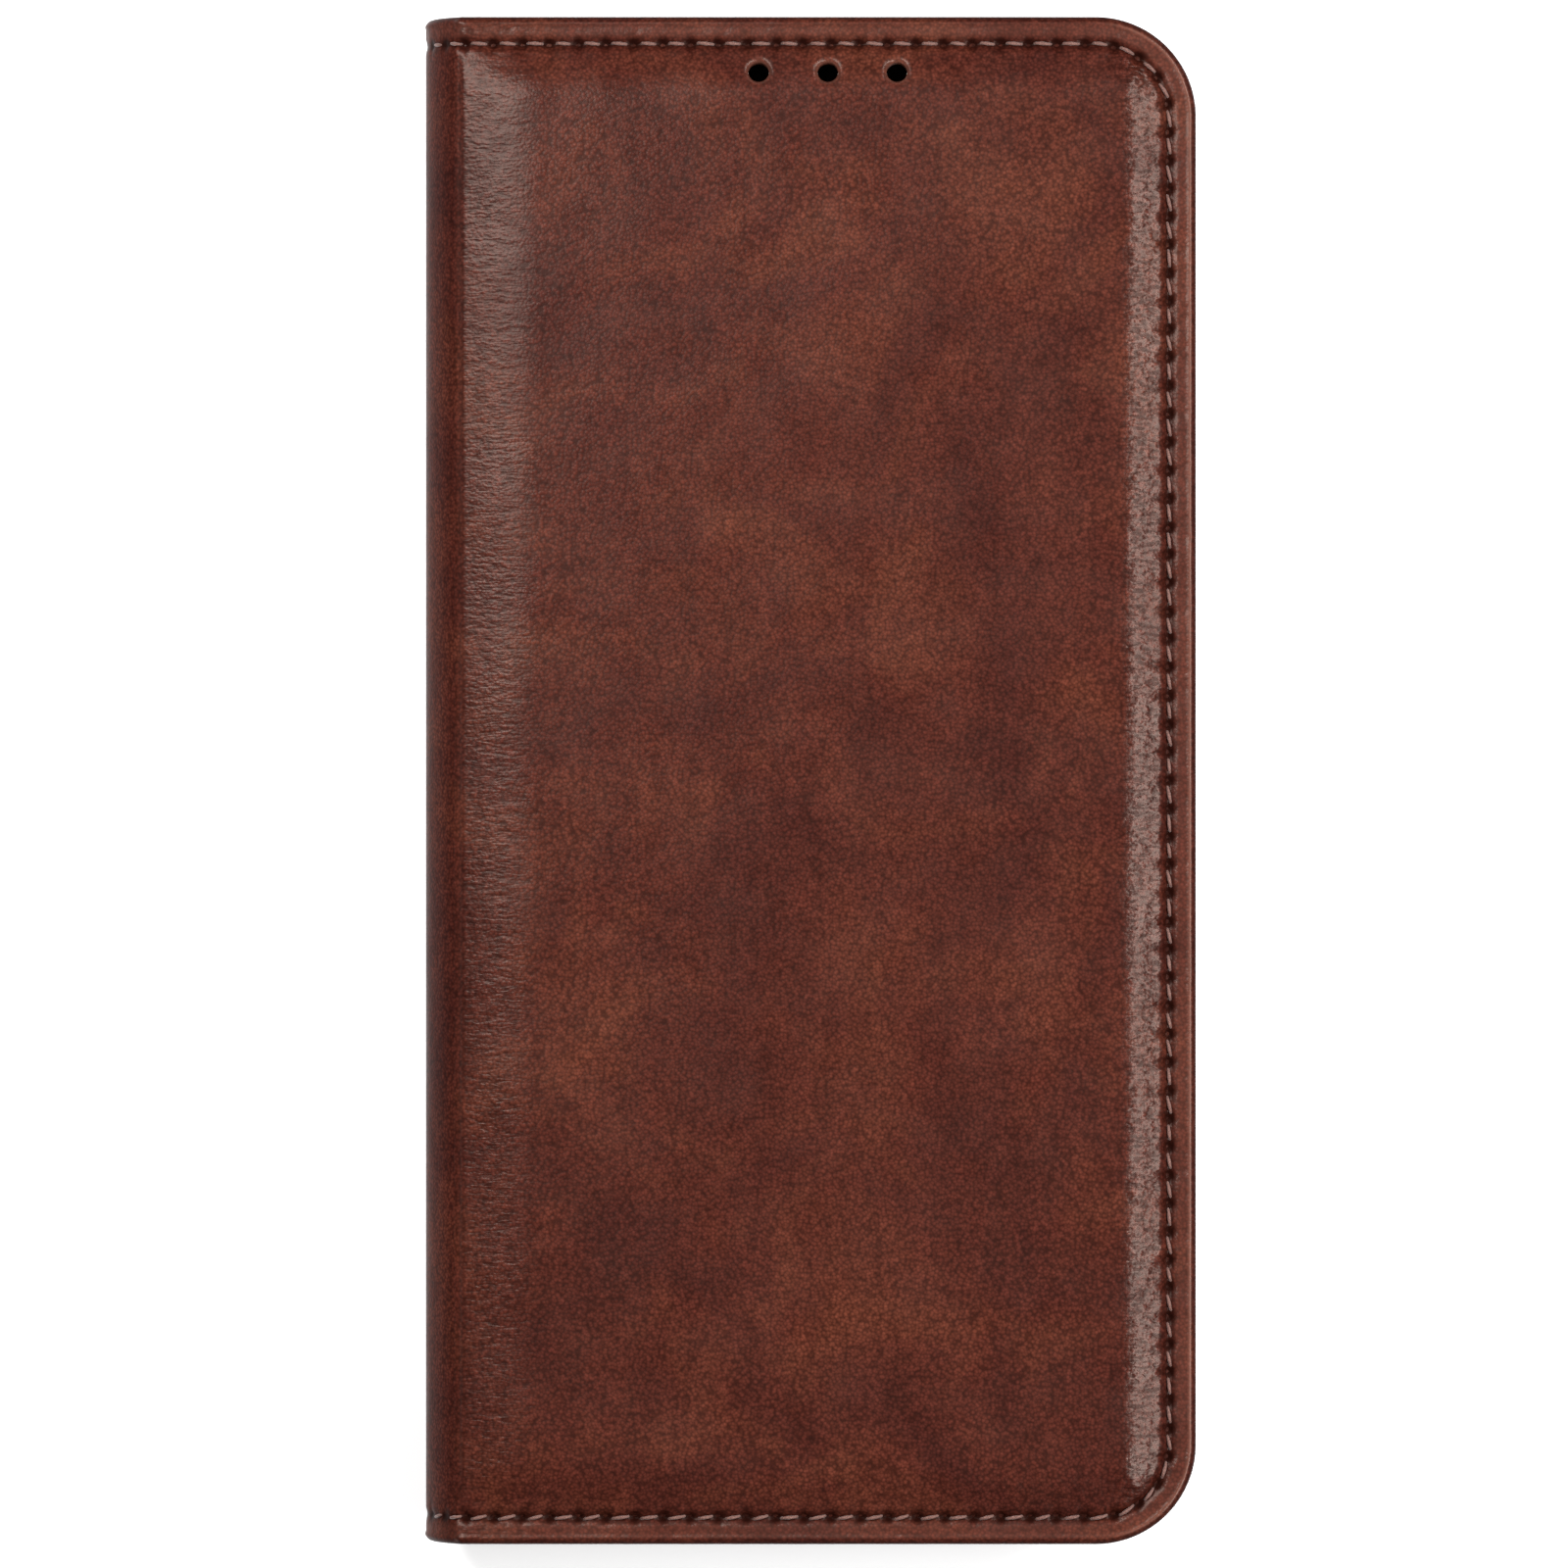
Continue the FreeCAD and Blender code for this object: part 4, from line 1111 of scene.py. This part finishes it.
def build_foam():
    """Thin foam that fills most of the room between the board and the padded leather."""
    low, high = foam_low, foam_high
    top = HALF_LENGTH - (FREE_EDGE - high.x)
    x_stops = sorted({low.x, low.x + 4 * MM, CORNER_X, high.x} | hole_stops(SOUND_HOLES, 0))
    y_stops = sorted({-top, -CORNER_Y, CORNER_Y, top} | hole_stops(SOUND_HOLES, 1))
    xs = grid_lines(x_stops, [FOAM_CELL] * (len(x_stops) - 1))
    ys = grid_lines(y_stops, [FOAM_CELL] * (len(y_stops) - 1))

    def surface(x, y, share):
        """The underside is flat, and the top follows a share of the panel's height."""
        warped_x, warped_y = round_openings(x, y, SOUND_HOLES)
        placed_x, placed_y, _, inset = cover_place(warped_x, warped_y)
        level = np.full_like(x, low.z)
        if share:
            rise = front_relief(warped_x, warped_y, inset, detailed=False)
            level = low.z + FOAM_FILM + share * rise
        return np.stack([placed_x, placed_y, level], axis=-1)

    piece = grid_sheet(
        "front_foam", xs, ys, lambda x, y: surface(x, y, FOAM_SHARE), lambda x, y: surface(x, y, 0),
        foam, openings=SOUND_HOLES,
    )
    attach(piece, "front")
    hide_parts("front_foam_pad")


def build_lining():
    thickness = board_low.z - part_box("front_lining")[0].z
    for name, flip, openings, node in (
        ("front_inside", False, SOUND_HOLES, "front_lining"),
        ("back_inside", True, CAMERA_WINDOW, "back_lining"),
    ):
        piece = lining_sheet(name, thickness, openings, flip)
        bend_with_cover(piece, flip)
        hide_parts(node, "spine_lining")


def build_pockets():
    low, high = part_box("cash_pocket_panel")
    seed = SEED + 20
    cash = pocket_panel("cash_pocket", low, high, SOUND_HOLES, seed, rounded=True)
    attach(cash, "front")
    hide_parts("cash_pocket_panel")
    for order in (1, 2, 3):
        node = f"card_slot_panel_{order}"
        low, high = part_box(node)
        name = f"card_slot_{order}"
        panel = pocket_panel(name, low, high, (), seed + order, rounded=False)
        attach(panel, "front")
        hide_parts(node)


def build_stitches():
    front = cover_stitches("front_stitches", False, SEED + 30)
    back = cover_stitches("back_stitches", True, SEED + 31)
    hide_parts("front_seam_thread", "spine_seam_thread")
    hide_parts("back_seam_thread", "spine_seam_thread")
    # a row along each side of each card slot, up to the mouth of the next
    runs = []
    inset = 1 * MM
    first_low, first_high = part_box("card_slot_panel_1")
    for order in (1, 2, 3):
        low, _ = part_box(f"card_slot_panel_{order}")
        end = FREE_EDGE - 5.75 * MM
        if order < 3:
            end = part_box(f"card_slot_panel_{order + 1}")[0].x - inset
        for across in (first_low.y + inset, first_high.y - inset):
            runs.append((low.x + inset, end, across, low.z))
    pocket = straight_stitches("pocket_stitches", runs, SEED + 32)
    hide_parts("pocket_seam_thread")
    bend_with_cover(front, False)
    bend_with_cover(back, True)
    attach(pocket, "front")


def paint_frame():
    """Better materials for the CAD nodes whose shape is right."""
    looks = {
        "phone_shell": black_shell, "volume_button_pad": black_shell, "power_button_pad": black_shell,
        "front_board": board, "back_board": board, "spine_stiffener": stiffener,
        "shell_bond_pad": adhesive,
    }
    for name in ("lower", "upper"):
        looks["shell_magnet_" + name] = nickel
        looks["flap_magnet_" + name] = nickel
    for name, material in looks.items():
        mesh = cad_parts[name].data
        mesh.materials.clear()
        mesh.materials.append(material)


build_leather()
build_foam()
build_lining()
build_pockets()
build_stitches()
paint_frame()


# ------ floor, lights and camera

def build_floor():
    """Square floor just under the case, as a coarse grid of faces."""
    half_size = 1.6
    level = -0.25 * MM
    rows = 9
    edge = np.linspace(-half_size, half_size, rows)
    points = [(x, y, level) for y in edge for x in edge]
    faces = []
    for row in range(rows - 1):
        for column in range(rows - 1):
            here = row * rows + column
            faces.append([here, here + 1, here + rows + 1, here + rows])
    floor = new_object("floor", points, faces, floor_material())


def add_softbox(name, place, width, height, power):
    """Area light that faces the origin. Its width runs along Y for a light beside the case."""
    lamp = bpy.data.lights.new(name, "AREA")
    lamp.shape = "RECTANGLE"
    lamp.size = width
    lamp.size_y = height
    lamp.energy = power
    holder = bpy.data.objects.new(name, lamp)
    bpy.context.scene.collection.objects.link(holder)
    holder.location = place
    holder.rotation_euler = (-Vector(place)).to_track_quat("-Z", "Y").to_euler()


def build_lights():
    add_softbox("right_light", (0.36, 0.0, 0.43), width=0.9, height=0.1, power=6.4)
    add_softbox("left_light", (-0.26, 0.2, 0.42), width=0.2, height=0.4, power=3.0)
    world = bpy.data.worlds.new("soft_room")
    world.use_nodes = True
    background = world.node_tree.nodes["Background"]
    background.inputs["Color"].default_value = (1, 1, 1, 1)
    background.inputs["Strength"].default_value = 0.13
    bpy.context.scene.world = world
    bpy.context.scene.view_settings.view_transform = "Standard"


def build_camera():
    """Straight down on the flap, from where the lens takes in a little more than its length."""
    lens = bpy.data.cameras.new("camera")
    lens.sensor_width = 36
    lens.lens = 300
    middle_x, middle_y = -2.86 * MM, -0.38 * MM
    field = 172.4 * MM
    distance = field * lens.lens / lens.sensor_width
    holder = bpy.data.objects.new("camera", lens)
    bpy.context.scene.collection.objects.link(holder)
    holder.location = (middle_x, middle_y, RIM_TOP + distance)
    bpy.context.scene.camera = holder


build_floor()
build_lights()
build_camera()
